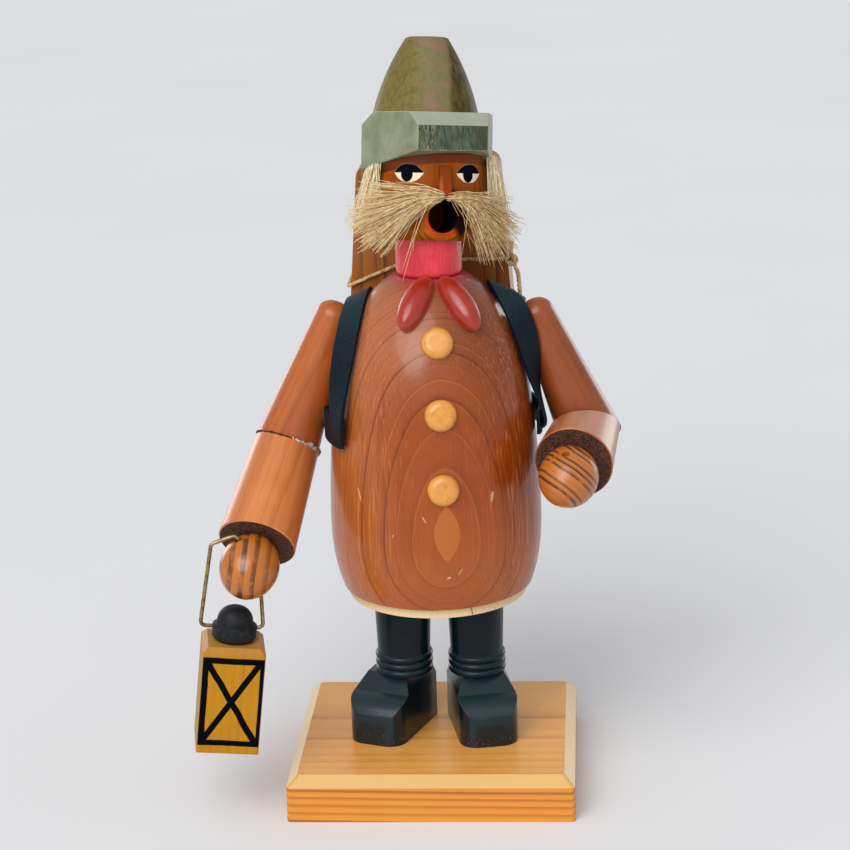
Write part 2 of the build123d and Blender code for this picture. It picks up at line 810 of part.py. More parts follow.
# Hair: strands hanging from a pad under each side of the brim
hairs = {}
hair_seat = brim_seat.offset(-lay_gap - hair_pad / 2)
for name, hair_turn in zip(("left_hair", "right_hair"), hair_turns):
    crop = turned(head_plane, hair_turn)
    roots = []
    for layer in range(hair_layers):
        splay = radians(hair_splay_in + (hair_splay_out - hair_splay_in) * layer / (hair_layers - 1))
        radius = head_radius + hair_stand + hair_layer_pitch * layer
        for column in range(hair_columns):
            turn = radians(hair_span * (column / (hair_columns - 1) - 0.5))
            out = Vector(sin(turn), -cos(turn), 0)
            spot = crop.from_local_coords(out * radius)
            rise = (hair_seat.origin - spot).dot(hair_seat.z_dir) / crop.z_dir.dot(hair_seat.z_dir)
            local = out * sin(splay) - Vector(0, 0, cos(splay))
            run = crop.x_dir * local.X + crop.y_dir * local.Y + crop.z_dir * local.Z
            roots.append(Plane(origin=spot + crop.z_dir * rise, z_dir=run))
    with BuildPart() as hair:
        with BuildSketch(crop.offset(head_height - brim_drop)):
            inner = head_radius + glue_gap
            outer = head_radius + hair_stand + hair_layer_pitch * (hair_layers - 1) + hair_pad_lap
            half = radians(hair_span / 2 + hair_pad_turn)
            with BuildLine():
                left_in = (-inner * sin(half), -inner * cos(half))
                right_in = (inner * sin(half), -inner * cos(half))
                left_out = (-outer * sin(half), -outer * cos(half))
                right_out = (outer * sin(half), -outer * cos(half))
                ThreePointArc(left_in, (0, -inner), right_in)
                Line(right_in, right_out)
                ThreePointArc(right_out, (0, -outer), left_out)
                Line(left_out, left_in)
            make_face()
        extrude(amount=2 * brim_drop)
        split(bisect_by=hair_seat.offset(hair_pad / 2), keep=Keep.BOTTOM)
        split(bisect_by=hair_seat.offset(-hair_pad / 2), keep=Keep.TOP)
        with BuildSketch(*roots):
            RegularPolygon(strand_radius, 3)
        extrude(amount=hair_length)
    hairs[name] = hair

# Straps: from the pack over the shoulder, down the front, then back under the arm
strap_end = strap_low_radius + strap_thick
straps = {}
strap_rooms = {}
for grow, store in ((0.0, straps), (strap_relief, strap_rooms)):
    for side, name, low_turn in (
        (-1, "left_strap", strap_front_turns[0]),
        (1, "right_strap", strap_front_turns[1]),
    ):
        strap_turn = radians(low_turn)
        strap_ahead = strap_low_radius * sin(radians(low_turn + strap_lap_turn))
        fold = (
            (strap_end * cos(strap_turn), -strap_end * sin(strap_turn), strap_low + strap_lap),
            (0, 0, -1),
            (sin(strap_turn), cos(strap_turn), 0),
        )
        with BuildPart() as band:
            with BuildSketch(Plane.XY.offset(strap_low - grow)):
                Circle(strap_low_radius + strap_thick + grow)
                Circle(strap_low_radius - grow, mode=Mode.SUBTRACT)
            extrude(amount=strap_width + 2 * grow)
            with BuildSketch(Plane.XY.offset(strap_low - grow)):
                with Locations((0, -strap_ahead - grow)):
                    Rectangle(
                        2 * strap_low_radius,
                        pack_face + strap_ahead + grow,
                        align=(Align.MIN if side > 0 else Align.MAX, Align.MIN),
                    )
            extrude(amount=strap_width + 2 * grow, mode=Mode.INTERSECT)
        with BuildPart() as strap:
            for spot, run, wide in strap_routes[name] + (fold,):
                ahead = Vector(side * run[0], run[1], run[2]).normalized()
                across = Vector(side * wide[0], wide[1], wide[2])
                across = (across - ahead * across.dot(ahead)).normalized() * side
                lie = Plane(origin=(side * spot[0], spot[1], spot[2]), x_dir=across, z_dir=ahead)
                with BuildSketch(lie):
                    Rectangle(strap_width + 2 * grow, strap_thick + 2 * grow)
            loft()
            add(band.part)
        store[name] = strap

# Arms: tapered cylinders mitred and dowelled at the elbow, with a hand pegged in each cuff
arms = {}
for name, elbow, upper, upper_length, upper_radius, fore, fore_length, strap in (
    (
        "lantern",
        lantern_elbow,
        lantern_upper,
        lantern_upper_length,
        lantern_upper_radius,
        lantern_fore,
        lantern_fore_length,
        "left_strap",
    ),
    (
        "staff",
        staff_elbow,
        staff_upper,
        staff_upper_length,
        staff_upper_radius,
        staff_fore,
        staff_fore_length,
        "right_strap",
    ),
):
    mitre = Plane(origin=elbow, z_dir=(upper + fore).normalized())
    over = 2 * elbow_radius
    upper_taper = (upper_radius - shoulder_radius) / upper_length
    fore_taper = (cuff_radius - elbow_radius) / fore_length
    with BuildPart() as upper_arm:
        with Locations(Plane(origin=elbow + upper * over, z_dir=-upper)):
            Cone(
                upper_radius + upper_taper * over,
                shoulder_radius,
                upper_length + over,
                align=(Align.CENTER, Align.CENTER, Align.MIN),
            )
        crest = upper_arm.faces().sort_by(Axis(elbow, -upper))[-1]
        fillet(crest.edges(), radius=shoulder_round)
        split(bisect_by=mitre.offset(-mitre_gap / 2), keep=Keep.BOTTOM)
        with BuildSketch(mitre):
            Circle(elbow_dowel_radius + glue_gap)
        extrude(amount=-elbow_dowel_length / 2 - end_gap, mode=Mode.SUBTRACT)
        add(coat_outside.part, mode=Mode.SUBTRACT)
        add(strap_rooms[strap].part, mode=Mode.SUBTRACT)
        with BuildSketch(shoulder_frames[name]):
            Circle(shoulder_dowel_radius + glue_gap)
        extrude(amount=shoulder_dowel_length / 2, both=True, mode=Mode.SUBTRACT)
    cuff = Plane(origin=elbow + fore * fore_length, z_dir=fore)
    with BuildPart(cuff) as forearm:
        Cone(
            elbow_radius - fore_taper * over,
            cuff_radius,
            fore_length + over,
            align=(Align.CENTER, Align.CENTER, Align.MAX),
        )
        rim = forearm.faces().sort_by(Axis(elbow, fore))[-1]
        chamfer(rim.edges(), length=cuff_edge)
        split(bisect_by=mitre.offset(mitre_gap / 2), keep=Keep.TOP)
        with BuildSketch(mitre):
            Circle(elbow_dowel_radius + glue_gap)
        extrude(amount=elbow_dowel_length / 2 + end_gap, mode=Mode.SUBTRACT)
        with BuildSketch(cuff):
            Circle(hand_peg_radius + glue_gap)
        extrude(amount=-hand_peg_length, mode=Mode.SUBTRACT)
    with BuildPart(mitre) as elbow_dowel:
        Cylinder(elbow_dowel_radius, elbow_dowel_length)
    with BuildPart(shoulder_frames[name]) as shoulder_dowel:
        Cylinder(shoulder_dowel_radius, shoulder_dowel_length - 2 * end_gap)
    palm = cuff.offset(hand_reach)
    lathe = Plane(origin=palm.origin, x_dir=palm.x_dir, z_dir=-palm.y_dir)
    with BuildPart() as hand:
        with BuildSketch(lathe):
            with BuildLine():
                Spline(*oval_outline(hand_radius, hand_half_length))
                Polyline(
                    (tip_flat, hand_half_length),
                    (0, hand_half_length),
                    (0, -hand_half_length),
                    (tip_flat, -hand_half_length),
                )
            make_face()
        revolve(axis=Axis(palm.origin, palm.z_dir))
        split(bisect_by=cuff, keep=Keep.TOP)
        with BuildSketch(cuff):
            Circle(hand_peg_radius)
        extrude(amount=-hand_peg_length + end_gap)
    arms[name] = (upper_arm, forearm, elbow_dowel, shoulder_dowel, hand, palm)

# Staff hole: square to the forearm, a little ahead of the middle of the hand
staff_palm = arms["staff"][5]
staff_up = (Vector(0, 0, 1) - staff_fore * staff_fore.Z).normalized()
staff_hole = Plane(origin=staff_palm.origin + staff_fore * staff_hole_forward, z_dir=staff_up)
with arms["staff"][4]:
    with BuildSketch(staff_hole):
        Circle(staff_hole_radius)
    extrude(amount=2 * hand_radius, both=True, mode=Mode.SUBTRACT)

# Bail: one wire through the lantern hand, in an upright plane, its ends turned into the cap
lantern_palm = arms["lantern"][5]
bail_x = Vector(cos(radians(bail_yaw)), sin(radians(bail_yaw)), 0)
bail_out = Vector(sin(radians(bail_yaw)), -cos(radians(bail_yaw)), 0)
bail_plane = Plane(origin=lantern_palm.origin, x_dir=bail_x, z_dir=bail_out)
hole_lean = radians(bail_hole_lean)
hole_run = bail_x * sin(hole_lean) - Vector(0, 0, cos(hole_lean))
hole_plane = Plane(origin=lantern_palm.origin, z_dir=hole_run)
with arms["lantern"][4]:
    with BuildSketch(hole_plane):
        Circle(bail_hole_radius)
    extrude(amount=2 * hand_radius, both=True, mode=Mode.SUBTRACT)

lean = radians(lantern_lean)
pivot = Vector(bail_pivot_across, -bail_pivot_drop)
pivot_run = Vector(cos(lean), -sin(lean))
left_in = pivot - pivot_run * (cap_flange_radius - bail_stub)
left_out = pivot - pivot_run * (cap_flange_radius + bail_bend + bail_flare_left)
right_in = pivot + pivot_run * (cap_flange_radius - bail_stub)
right_out = pivot + pivot_run * (cap_flange_radius + bail_bend + bail_flare_right)
hole_top = Vector(-sin(hole_lean), cos(hole_lean)) * (hand_radius + bail_top_rise)
hole_bottom = Vector(sin(hole_lean), -cos(hole_lean)) * (hand_radius + bail_bottom_drop)
with BuildPart() as lantern_bail:
    with BuildLine(bail_plane) as bail_path:
        FilletPolyline(
            (left_in.X, left_in.Y),
            (left_out.X, left_out.Y),
            (bail_knee_across, bail_knee_height),
            (hole_top.X, hole_top.Y),
            (hole_bottom.X, hole_bottom.Y),
            (right_out.X, right_out.Y),
            (right_in.X, right_in.Y),
            radius=bail_corner,
        )
    with BuildSketch(Plane(origin=bail_path.line @ 0, z_dir=bail_path.line % 0)):
        Circle(bail_radius)
    sweep()

# Lantern: block and turned cap, hung square to the bail's turned-in ends
lantern_x = bail_x * cos(lean) - Vector(0, 0, sin(lean))
lantern_up = bail_x * sin(lean) + Vector(0, 0, cos(lean))
lantern_pivot = lantern_palm.origin + bail_x * bail_pivot_across - Vector(0, 0, bail_pivot_drop)
lantern_plane = Plane(origin=lantern_pivot, x_dir=lantern_x, z_dir=lantern_up)
lantern_top = lantern_plane.offset(-lantern_drop)
with BuildPart() as lantern_block:
    with BuildSketch(lantern_top):
        Rectangle(lantern_width, lantern_width)
    extrude(amount=-lantern_height)
    upright = Axis(lantern_pivot, lantern_up)
    chamfer(lantern_block.faces().sort_by(upright)[-1].edges(), length=lantern_brow)
    arrises = [edge for edge in lantern_block.edges() if abs(edge.tangent_at(0.5).dot(lantern_up)) > 0.3]
    fillet(arrises, radius=lantern_edge)
    with BuildSketch(lantern_top):
        Circle(cap_peg_radius + glue_gap)
    extrude(amount=-cap_peg_length, mode=Mode.SUBTRACT)

cap_lathe = Plane(origin=lantern_top.origin, x_dir=lantern_x, z_dir=-lantern_plane.y_dir)
with BuildPart() as lantern_cap:
    with BuildSketch(cap_lathe):
        with BuildLine():
            Polyline(
                (0, -cap_peg_length + end_gap),
                (cap_peg_radius, -cap_peg_length + end_gap),
                (cap_peg_radius, 0),
                (cap_flange_radius - cap_foot, 0),
                (cap_flange_radius, cap_foot),
                (cap_flange_radius, cap_flange - cap_step),
                (cap_dome_radius, cap_flange + cap_step),
            )
            ThreePointArc(
                (cap_dome_radius, cap_flange + cap_step),
                (cap_dome_radius * 0.76, cap_flange + (cap_height - cap_flange) * 0.74),
                (cap_flat, cap_height),
            )
            Polyline(
                (cap_flat, cap_height),
                (0, cap_height),
                (0, -cap_peg_length + end_gap),
            )
        make_face()
    revolve(axis=Axis(lantern_top.origin, lantern_up))
    ears = []
    for ear_run in (lantern_x, -lantern_x):
        ears.append(Plane(origin=lantern_pivot + ear_run * (cap_flange_radius + cut_over), z_dir=ear_run))
    with BuildSketch(*ears):
        Circle(bail_radius + pivot_gap)
    extrude(amount=-bail_stub - ear_end_gap, mode=Mode.SUBTRACT)

# Pack: two leaning side boards, a front and a back between them, and a floor
pack_slope = (pack_half_low - pack_half_high) / (pack_top - pack_bottom)
pack_wall = pack_side_thick * sqrt(1 + pack_slope**2)


def pack_half(height):
    """Half width of the pack outside at a height."""
    return pack_half_low - pack_slope * (height - pack_bottom)


pack_front_plane = Plane(origin=(pack_x, pack_face, 0), x_dir=(1, 0, 0), z_dir=(0, -1, 0))
panel_top = pack_top - pack_panel_drop
pack = {}
for side, name in ((-1, "pack_left_side"), (1, "pack_right_side")):
    with BuildPart() as board:
        with BuildSketch(pack_front_plane):
            Polygon(
                (side * pack_half(pack_bottom), pack_bottom),
                (side * pack_half(pack_top), pack_top),
                (side * (pack_half(pack_top) - pack_wall), pack_top),
                (side * (pack_half(pack_bottom) - pack_wall), pack_bottom),
                align=None,
            )
        extrude(amount=-pack_depth)
        crests = board.edges().filter_by(Axis.Y).sort_by(Axis.Z)[-2:].sort_by(Axis.X)
        outer = crests[0] if side < 0 else crests[-1]
        fillet(outer, radius=pack_round)
    pack[name] = board

for name, set_back in (("pack_front", 0.0), ("pack_back", pack_depth - pack_panel)):
    with BuildPart() as panel:
        with BuildSketch(pack_front_plane.offset(-set_back)):
            Polygon(
                (-pack_half(pack_bottom) + pack_wall, pack_bottom),
                (-pack_half(panel_top) + pack_wall, panel_top),
                (pack_half(panel_top) - pack_wall, panel_top),
                (pack_half(pack_bottom) - pack_wall, pack_bottom),
                align=None,
            )
        extrude(amount=-pack_panel)
        if name == "pack_front":
            with BuildSketch(pack_front_plane):
                with Locations(*[(0, height) for height in pack_dowel_heights]):
                    Circle(pack_dowel_radius + glue_gap)
            extrude(amount=-pack_panel, mode=Mode.SUBTRACT)
    pack[name] = panel

with BuildPart() as pack_floor:
    with BuildSketch(pack_front_plane.offset(-pack_panel)):
        Polygon(
            (-pack_half(pack_bottom) + pack_wall, pack_bottom),
            (-pack_half(pack_bottom + pack_panel) + pack_wall, pack_bottom + pack_panel),
            (pack_half(pack_bottom + pack_panel) - pack_wall, pack_bottom + pack_panel),
            (pack_half(pack_bottom) - pack_wall, pack_bottom),
            align=None,
        )
    extrude(amount=-(pack_depth - 2 * pack_panel))

with BuildPart() as pack_dowels:
    with BuildSketch(pack_front_plane.offset(-pack_panel)):
        with Locations(*[(0, height) for height in pack_dowel_heights]):
            Circle(pack_dowel_radius)
    extrude(amount=pack_dowel_length - end_gap)

# Twine: one loop lashed round the pack, a knot at its right corner and a short tail
reach = twine_radius + lay_gap
front_y = pack_face - reach
back_y = pack_face + pack_depth + reach
left_x = pack_x - pack_half(twine_low) - reach
right_x = pack_x + pack_half(twine_high) + reach
with BuildPart() as pack_twine:
    with BuildLine() as lash:
        FilletPolyline(
            (right_x, front_y, twine_high),
            (twine_turn_x, front_y, twine_high),
            (left_x, front_y, twine_low),
            (left_x, back_y, twine_low),
            (right_x, back_y, twine_high),
            (right_x, front_y + cut_over, twine_high),
            radius=reach,
        )
    with BuildSketch(Plane(origin=lash.line @ 0, z_dir=lash.line % 0)):
        Circle(twine_radius)
    sweep()
    knot = Vector(right_x + knot_out, front_y - knot_ahead, twine_high)
    with Locations(knot):
        Sphere(knot_radius)
    with BuildSketch(Plane(origin=knot, z_dir=twine_tail)):
        Circle(twine_radius)
    extrude(amount=twine_tail.length)

# Write every piece under its own name
pieces = {
    "base_board": base_board,
    "left_boot": boots["left_boot"],
    "right_boot": boots["right_boot"],
    "boot_dowels": boot_dowels,
    "left_leg": legs["left_leg"],
    "right_leg": legs["right_leg"],
    "seat_disc": seat_disc,
    "incense_dish": incense_dish,
    "dish_tack": dish_tack,
    "coat": coat,
    "top_button": buttons["top_button"],
    "middle_button": buttons["middle_button"],
    "bottom_button": buttons["bottom_button"],
    "head": head,
    "nose": nose,
    "scarf_band": scarf_band,
    "left_scarf_tail": tails["left_scarf_tail"],
    "right_scarf_tail": tails["right_scarf_tail"],
    "hat_brim": hat_brim,
    "hat_crown": hat_crown,
    "left_moustache": moustaches["left_moustache"],
    "right_moustache": moustaches["right_moustache"],
    "left_hair": hairs["left_hair"],
    "right_hair": hairs["right_hair"],
    "lantern_bail": lantern_bail,
    "lantern_block": lantern_block,
    "lantern_cap": lantern_cap,
    "pack_front": pack["pack_front"],
    "pack_back": pack["pack_back"],
    "pack_left_side": pack["pack_left_side"],
    "pack_right_side": pack["pack_right_side"],
    "pack_floor": pack_floor,
    "pack_dowels": pack_dowels,
    "left_strap": straps["left_strap"],
    "right_strap": straps["right_strap"],
    "pack_twine": pack_twine,
}
for name in ("lantern", "staff"):
    upper_arm, forearm, elbow_dowel, shoulder_dowel, hand, palm = arms[name]
    pieces[name + "_upper_arm"] = upper_arm
    pieces[name + "_forearm"] = forearm
    pieces[name + "_elbow_dowel"] = elbow_dowel
    pieces[name + "_shoulder_dowel"] = shoulder_dowel
    pieces[name + "_hand"] = hand

for name, piece in pieces.items():
    piece.part.label = name
    export_step(piece.part, "parts/" + name + ".step")
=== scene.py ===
"""Looks of a wooden incense smoker: a watchman with a lantern, a pack and a coat that lifts off."""

import math
import random

import bpy
from mathutils import Matrix, Vector


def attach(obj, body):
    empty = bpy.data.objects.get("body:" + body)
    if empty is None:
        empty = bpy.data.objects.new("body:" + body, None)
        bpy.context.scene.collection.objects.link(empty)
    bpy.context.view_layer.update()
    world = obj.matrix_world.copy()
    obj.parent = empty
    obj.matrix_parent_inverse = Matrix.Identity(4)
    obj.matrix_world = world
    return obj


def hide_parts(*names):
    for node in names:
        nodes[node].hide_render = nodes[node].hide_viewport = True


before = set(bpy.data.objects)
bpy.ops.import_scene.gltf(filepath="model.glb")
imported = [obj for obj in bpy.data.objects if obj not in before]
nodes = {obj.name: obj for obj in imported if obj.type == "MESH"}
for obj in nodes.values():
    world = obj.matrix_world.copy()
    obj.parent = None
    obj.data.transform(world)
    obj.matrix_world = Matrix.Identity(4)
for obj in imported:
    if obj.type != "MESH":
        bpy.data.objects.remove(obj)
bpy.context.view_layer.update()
scene = bpy.context.scene
draw = random.Random(7)

# Places, directions and sizes in the CAD frame, in millimetres, and angles in radians
head_foot = Vector((0.8, 0.0, 215.5))
head_up = Vector((0.0349, 0.1821, 0.9827)).normalized()
face_way = Vector((0.2922, -0.9421, 0.1642)).normalized()
face_right = (-face_way).cross(head_up)
head_radius = 21.0
mouth_height = 8.6
hat_right = (Vector((1, 0, 0)) - head_up * head_up.x).normalized()
hat_back = head_up.cross(hat_right)
hat_rise = 29.5
hat_shift = 2.5
hat_foot = head_foot + head_up * hat_rise - hat_right * hat_shift
brim_turn = math.radians(29)
brim_dip = math.radians(6.5)
brim_pitch = math.radians(11.6)
brim_drop = 2.1
brim_front_way = hat_right * math.sin(brim_turn) - hat_back * math.cos(brim_turn)
brim_seat_up = head_up - hat_right * math.sin(brim_dip) + hat_back * math.sin(brim_pitch)
brim_seat_up.normalize()
brim_seat_spot = hat_foot - head_up * brim_drop
lantern_elbow = Vector((-57.0, 4.0, 135.3))
lantern_upper = Vector((-0.364, 0.0, -0.931)).normalized()
lantern_fore = Vector((-0.185, -0.785, -0.592)).normalized()
staff_upper = Vector((0.375, 0.04, -0.926)).normalized()
staff_fore = Vector((-0.178, -0.963, -0.2)).normalized()
lantern_pivot = Vector((-74.4773, -42.9254, 77.3022))
lantern_right = Vector((0.9775, 0.1724, -0.1219)).normalized()
lantern_up = Vector((0.12, 0.0212, 0.9925)).normalized()
lantern_front = lantern_right.cross(lantern_up)
lantern_half = 11.8
lantern_top = -4.9
lantern_height = 41.8
lantern_bottom = lantern_top - lantern_height
base_top = 18.0


def rgb(red, green, blue):
    """A colour written as it looks on a screen, 0 to 255, turned into linear values."""
    values = []
    for level in (red / 255, green / 255, blue / 255):
        values.append(level / 12.92 if level <= 0.04045 else ((level + 0.055) / 1.055) ** 2.4)
    return (*values, 1.0)


class Look:
    """A material, with short ways to add shader nodes to it. Places are in millimetres."""

    def __init__(self, name):
        self.material = bpy.data.materials.new(name)
        self.material.use_nodes = True
        self.tree = self.material.node_tree
        self.tree.nodes.clear()
        self.shader = self.node("BsdfPrincipled")
        output = self.node("OutputMaterial")
        self.tree.links.new(self.shader.outputs["BSDF"], output.inputs["Surface"])
        coordinates = self.node("TexCoord")
        self.place = self.vector("SCALE", coordinates.outputs["Object"], scale=1000.0)
        self.normal = coordinates.outputs["Normal"]

    def node(self, kind):
        return self.tree.nodes.new("ShaderNode" + kind)

    def put(self, socket, value):
        if isinstance(value, bpy.types.NodeSocket):
            self.tree.links.new(value, socket)
        else:
            socket.default_value = value

    def math(self, kind, first, second=0.0, third=0.0):
        node = self.node("Math")
        node.operation = kind
        for index, value in enumerate((first, second, third)):
            self.put(node.inputs[index], value)
        return node.outputs[0]

    def scaled(self, value, factor, added):
        return self.math("MULTIPLY_ADD", value, factor, added)

    def size(self, value):
        return self.math("ABSOLUTE", value)

    def centred(self, value):
        return self.math("SUBTRACT", value, 0.5)

    def all_of(self, *masks):
        result = masks[0]
        for mask in masks[1:]:
            result = self.math("MULTIPLY", result, mask)
        return result

    def vector(self, kind, first, second=(0.0, 0.0, 0.0), scale=1.0):
        node = self.node("VectorMath")
        node.operation = kind
        self.put(node.inputs[0], first)
        if kind == "SCALE":
            self.put(node.inputs["Scale"], scale)
        elif kind != "LENGTH":
            self.put(node.inputs[1], second)
        return node.outputs["Value" if kind in ("DOT_PRODUCT", "LENGTH") else "Vector"]

    def local(self, spot, *ways):
        """Distances from a spot along each of the given directions."""
        away = self.vector("SUBTRACT", self.place, tuple(spot))
        return [self.vector("DOT_PRODUCT", away, tuple(way)) for way in ways]

    def facing(self, way, low, high):
        """1 where the surface looks along a direction."""
        return self.step(self.vector("DOT_PRODUCT", self.normal, tuple(way)), low, high)

    def noise(self, place, scale, detail=3.0, rough=0.5, warp=0.0):
        node = self.node("TexNoise")
        self.put(node.inputs["Vector"], place)
        settings = {"Scale": scale, "Detail": detail, "Roughness": rough, "Distortion": warp}
        for name, value in settings.items():
            node.inputs[name].default_value = value
        return node.outputs["Fac"]

    def stretched(self, amounts):
        return self.vector("MULTIPLY", self.place, amounts)

    def cells(self, place, scale):
        node = self.node("TexVoronoi")
        self.put(node.inputs["Vector"], place)
        node.inputs["Scale"].default_value = scale
        return node.outputs["Distance"]

    def chance(self, value):
        node = self.node("TexWhiteNoise")
        node.noise_dimensions = "1D"
        self.put(node.inputs["W"], value)
        return node.outputs["Value"]

    def step(self, value, low, high):
        """0 below low, 1 above high, smooth between. Low may be above high."""
        node = self.node("MapRange")
        node.interpolation_type = "SMOOTHSTEP"
        self.put(node.inputs["Value"], value)
        node.inputs["From Min"].default_value = min(low, high)
        node.inputs["From Max"].default_value = max(low, high)
        node.inputs["To Min"].default_value = float(low > high)
        node.inputs["To Max"].default_value = float(low < high)
        return node.outputs["Result"]

    def mix(self, share, first, second):
        node = self.node("Mix")
        node.data_type = "RGBA"
        self.put(node.inputs[0], share)
        self.put(node.inputs[6], first)
        self.put(node.inputs[7], second)
        return node.outputs[2]

    def tint(self, colour, mask, share, tone):
        """Lays a share of a tone over a colour where the mask is 1."""
        return self.mix(self.math("MULTIPLY", mask, share), colour, tone)

    def worn(self, width):
        """Near 1 on sharp arrises, 0 on flats."""
        rounder = self.node("Bevel")
        rounder.samples = 4
        rounder.inputs["Radius"].default_value = width / 1000
        plain = self.node("NewGeometry")
        likeness = self.vector("DOT_PRODUCT", rounder.outputs["Normal"], plain.outputs["Normal"])
        return self.step(likeness, 0.97, 0.84)

    def bump(self, height, depth):
        """Raises the surface by height (0 to 1) times depth in millimetres."""
        node = self.node("Bump")
        node.inputs["Strength"].default_value = 1.0
        node.inputs["Distance"].default_value = depth / 1000
        self.put(node.inputs["Height"], height)
        self.tree.links.new(node.outputs["Normal"], self.shader.inputs["Normal"])

    def done(self, colour, rough, **extra):
        self.put(self.shader.inputs["Base Color"], colour)
        self.put(self.shader.inputs["Roughness"], rough)
        for name, value in extra.items():
            self.put(self.shader.inputs[name.replace("_", " ")], value)
        return self.material


def rings(look, pith, grain, spacing, wander, reach, shift=0.0):
    """Growth rings round a pith line: place in the ring 0 to 1, the ring's number, and fine fibres."""
    grain = Vector(grain).normalized()
    away = look.vector("SUBTRACT", look.place, tuple(pith))
    along = look.vector("DOT_PRODUCT", away, tuple(grain))
    length = look.vector("SCALE", tuple(grain), scale=along)
    across = look.vector("SUBTRACT", away, length)
    slow = look.vector("ADD", across, look.vector("SCALE", length, scale=0.16))
    drift = look.centred(look.noise(slow, 1 / reach, 2.0))
    distance = look.scaled(drift, 2 * wander, look.vector("LENGTH", across))
    count = look.math("DIVIDE", look.math("ADD", distance, shift), spacing)
    fine = look.vector("ADD", across, look.vector("SCALE", length, scale=0.035))
    fibres = look.noise(fine, 2.2, 4.0, 0.6)
    return look.math("FRACT", count), look.math("FLOOR", count), fibres


def timber(look, light, dark, pith, grain, spacing, wander=0.8, reach=16.0, depth=1.0):
    """The colour of timber: rings that darken to a crisp outer edge, fibres and slow patches."""
    phase, number, fibres = rings(look, pith, grain, spacing, wander, reach)
    weight = look.scaled(look.chance(number), 0.7, 0.3)
    late = look.math("MULTIPLY", look.math("POWER", phase, 2.6), look.step(phase, 1.0, 0.9))
    late = look.math("MULTIPLY", look.math("MULTIPLY", late, weight), 1.3 * depth)
    streak = look.scaled(look.centred(fibres), 0.75, late)
    patch = look.centred(look.noise(look.place, 0.05, 2.0))
    shade = look.scaled(patch, 0.55, streak)
    return look.mix(look.step(shade, -0.3, 1.0), light, dark), late, fibres


def raise_grain(look, late, fibres, depth=0.05):
    look.bump(look.scaled(fibres, 0.5, late), depth)


def finish_wood(look, colour, late, fibres, rough, coat):
    raise_grain(look, late, fibres)
    gloss = look.scaled(fibres, 0.14, rough - 0.07)
    return look.done(colour, gloss, Coat_Weight=coat, Coat_Roughness=0.2)


def wood(name, light, dark, pith, grain, spacing, rough, coat):
    look = Look(name)
    colour, late, fibres = timber(look, light, dark, pith, grain, spacing)
    return finish_wood(look, colour, late, fibres, rough, coat)


def dress(material, *names):
    for name in names:
        nodes[name].data.materials.clear()
        nodes[name].data.materials.append(material)


def soften(width, *names):
    """Rounds the arrises of a CAD node with modifiers; its own mesh stays as it is."""
    for name in names:
        weld = nodes[name].modifiers.new("weld", "WELD")
        weld.merge_threshold = 1e-6
        round_off = nodes[name].modifiers.new("bevel", "BEVEL")
        round_off.width = width / 1000
        round_off.segments = 2
        round_off.limit_method = "ANGLE"
        round_off.angle_limit = math.radians(40)
        nodes[name].modifiers.new("normals", "WEIGHTED_NORMAL")


def add(name, data):
    """A new object in the scene."""
    made = bpy.data.objects.new(name, data)
    scene.collection.objects.link(made)
    return made


def piece(name, vertices, faces, material, body):
    """A mesh of the scene's own, in millimetres, that moves with a CAD body."""
    mesh = bpy.data.meshes.new(name)
    mesh.from_pydata([tuple(spot * 0.001) for spot in vertices], [], faces)
    mesh.polygons.foreach_set("use_smooth", [True] * len(faces))
    mesh.materials.append(material)
    made = add(name, mesh)
    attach(made, body)
    return made


def carried(spots):
    """Each place on a path, with two ways across the path that turn as little as they can."""
    side = None
    for index, spot in enumerate(spots):
        ahead = (spots[min(index + 1, len(spots) - 1)] - spots[max(index - 1, 0)]).normalized()
        side = ahead.orthogonal() if side is None else side
        side = (side - ahead * side.dot(ahead)).normalized()
        yield spot, side, ahead.cross(side)


def tubes(paths, sides=4):
    """Vertices and faces of thin tubes. Each path is a list of (place, radius)."""
    vertices = []
    faces = []
    for path in paths:
        first = len(vertices)
        spots, radii = zip(*path)
        for (spot, side, other), radius in zip(carried(spots), radii):
            for corner in range(sides):
                swing = 2 * math.pi * corner / sides
                vertices.append(spot + (side * math.cos(swing) + other * math.sin(swing)) * radius)
        for ring in range(len(path) - 1):
            for corner in range(sides):
                low = first + ring * sides
                after = (corner + 1) % sides
                faces.append((low + corner, low + after, low + sides + after, low + sides + corner))
        faces.append(tuple(first + corner for corner in reversed(range(sides))))
        faces.append(tuple(first + (len(path) - 1) * sides + corner for corner in range(sides)))
    return vertices, faces


# Coat: rings about a pith behind it, a pale leaf where they close, scratches, painted light and shade and a
# smear of scarf paint
coat_right = (0.987, 0.157, 0)
coat_front = (0.157, -0.987, 0)
coat_pith = (-9.8, 61.0, 0)
coat_ring_gap = 1.5
# The heights where the skirt's, the chest's and the neck's tones start and where each is full
coat_skirt = (116.0, 90.0)
coat_chest = (148.0, 186.0)
coat_neck = (198.0, 203.5)
leaf_middle = (6.5, -40.0, 112.2)
leaf_half_tall = 11.2
leaf_half_wide = 4.9
pale_mark_face = Vector((0.1, -0.99, 0.05))
# Each pale mark (five scratches and one painted highlight): its middle, the way it runs, half its length
# and about half its width
scratches_and_highlight = (
    ((-26.6, -29.6, 125.0), (0.2, -0.1, -0.97), 2.9, 0.35),
    ((-1.9, -40.3, 118.1), (0.5, 0.0, -0.87), 1.6, 0.3),
    ((6.7, -39.2, 94.8), (0.9, 0.0, 0.4), 0.8, 0.5),
    # This mark, on the right flank, is a painted highlight in the scratches' pale colour
    ((23.2, -32.5, 124.6), (0.1, 0.1, 1.0), 2.2, 0.6),
    ((11.0, -38.4, 97.0), (0.6, 0.0, 0.8), 1.8, 0.2),
    ((-14.0, -37.2, 111.0), (0.3, 0.0, 0.9), 0.9, 0.25),
)


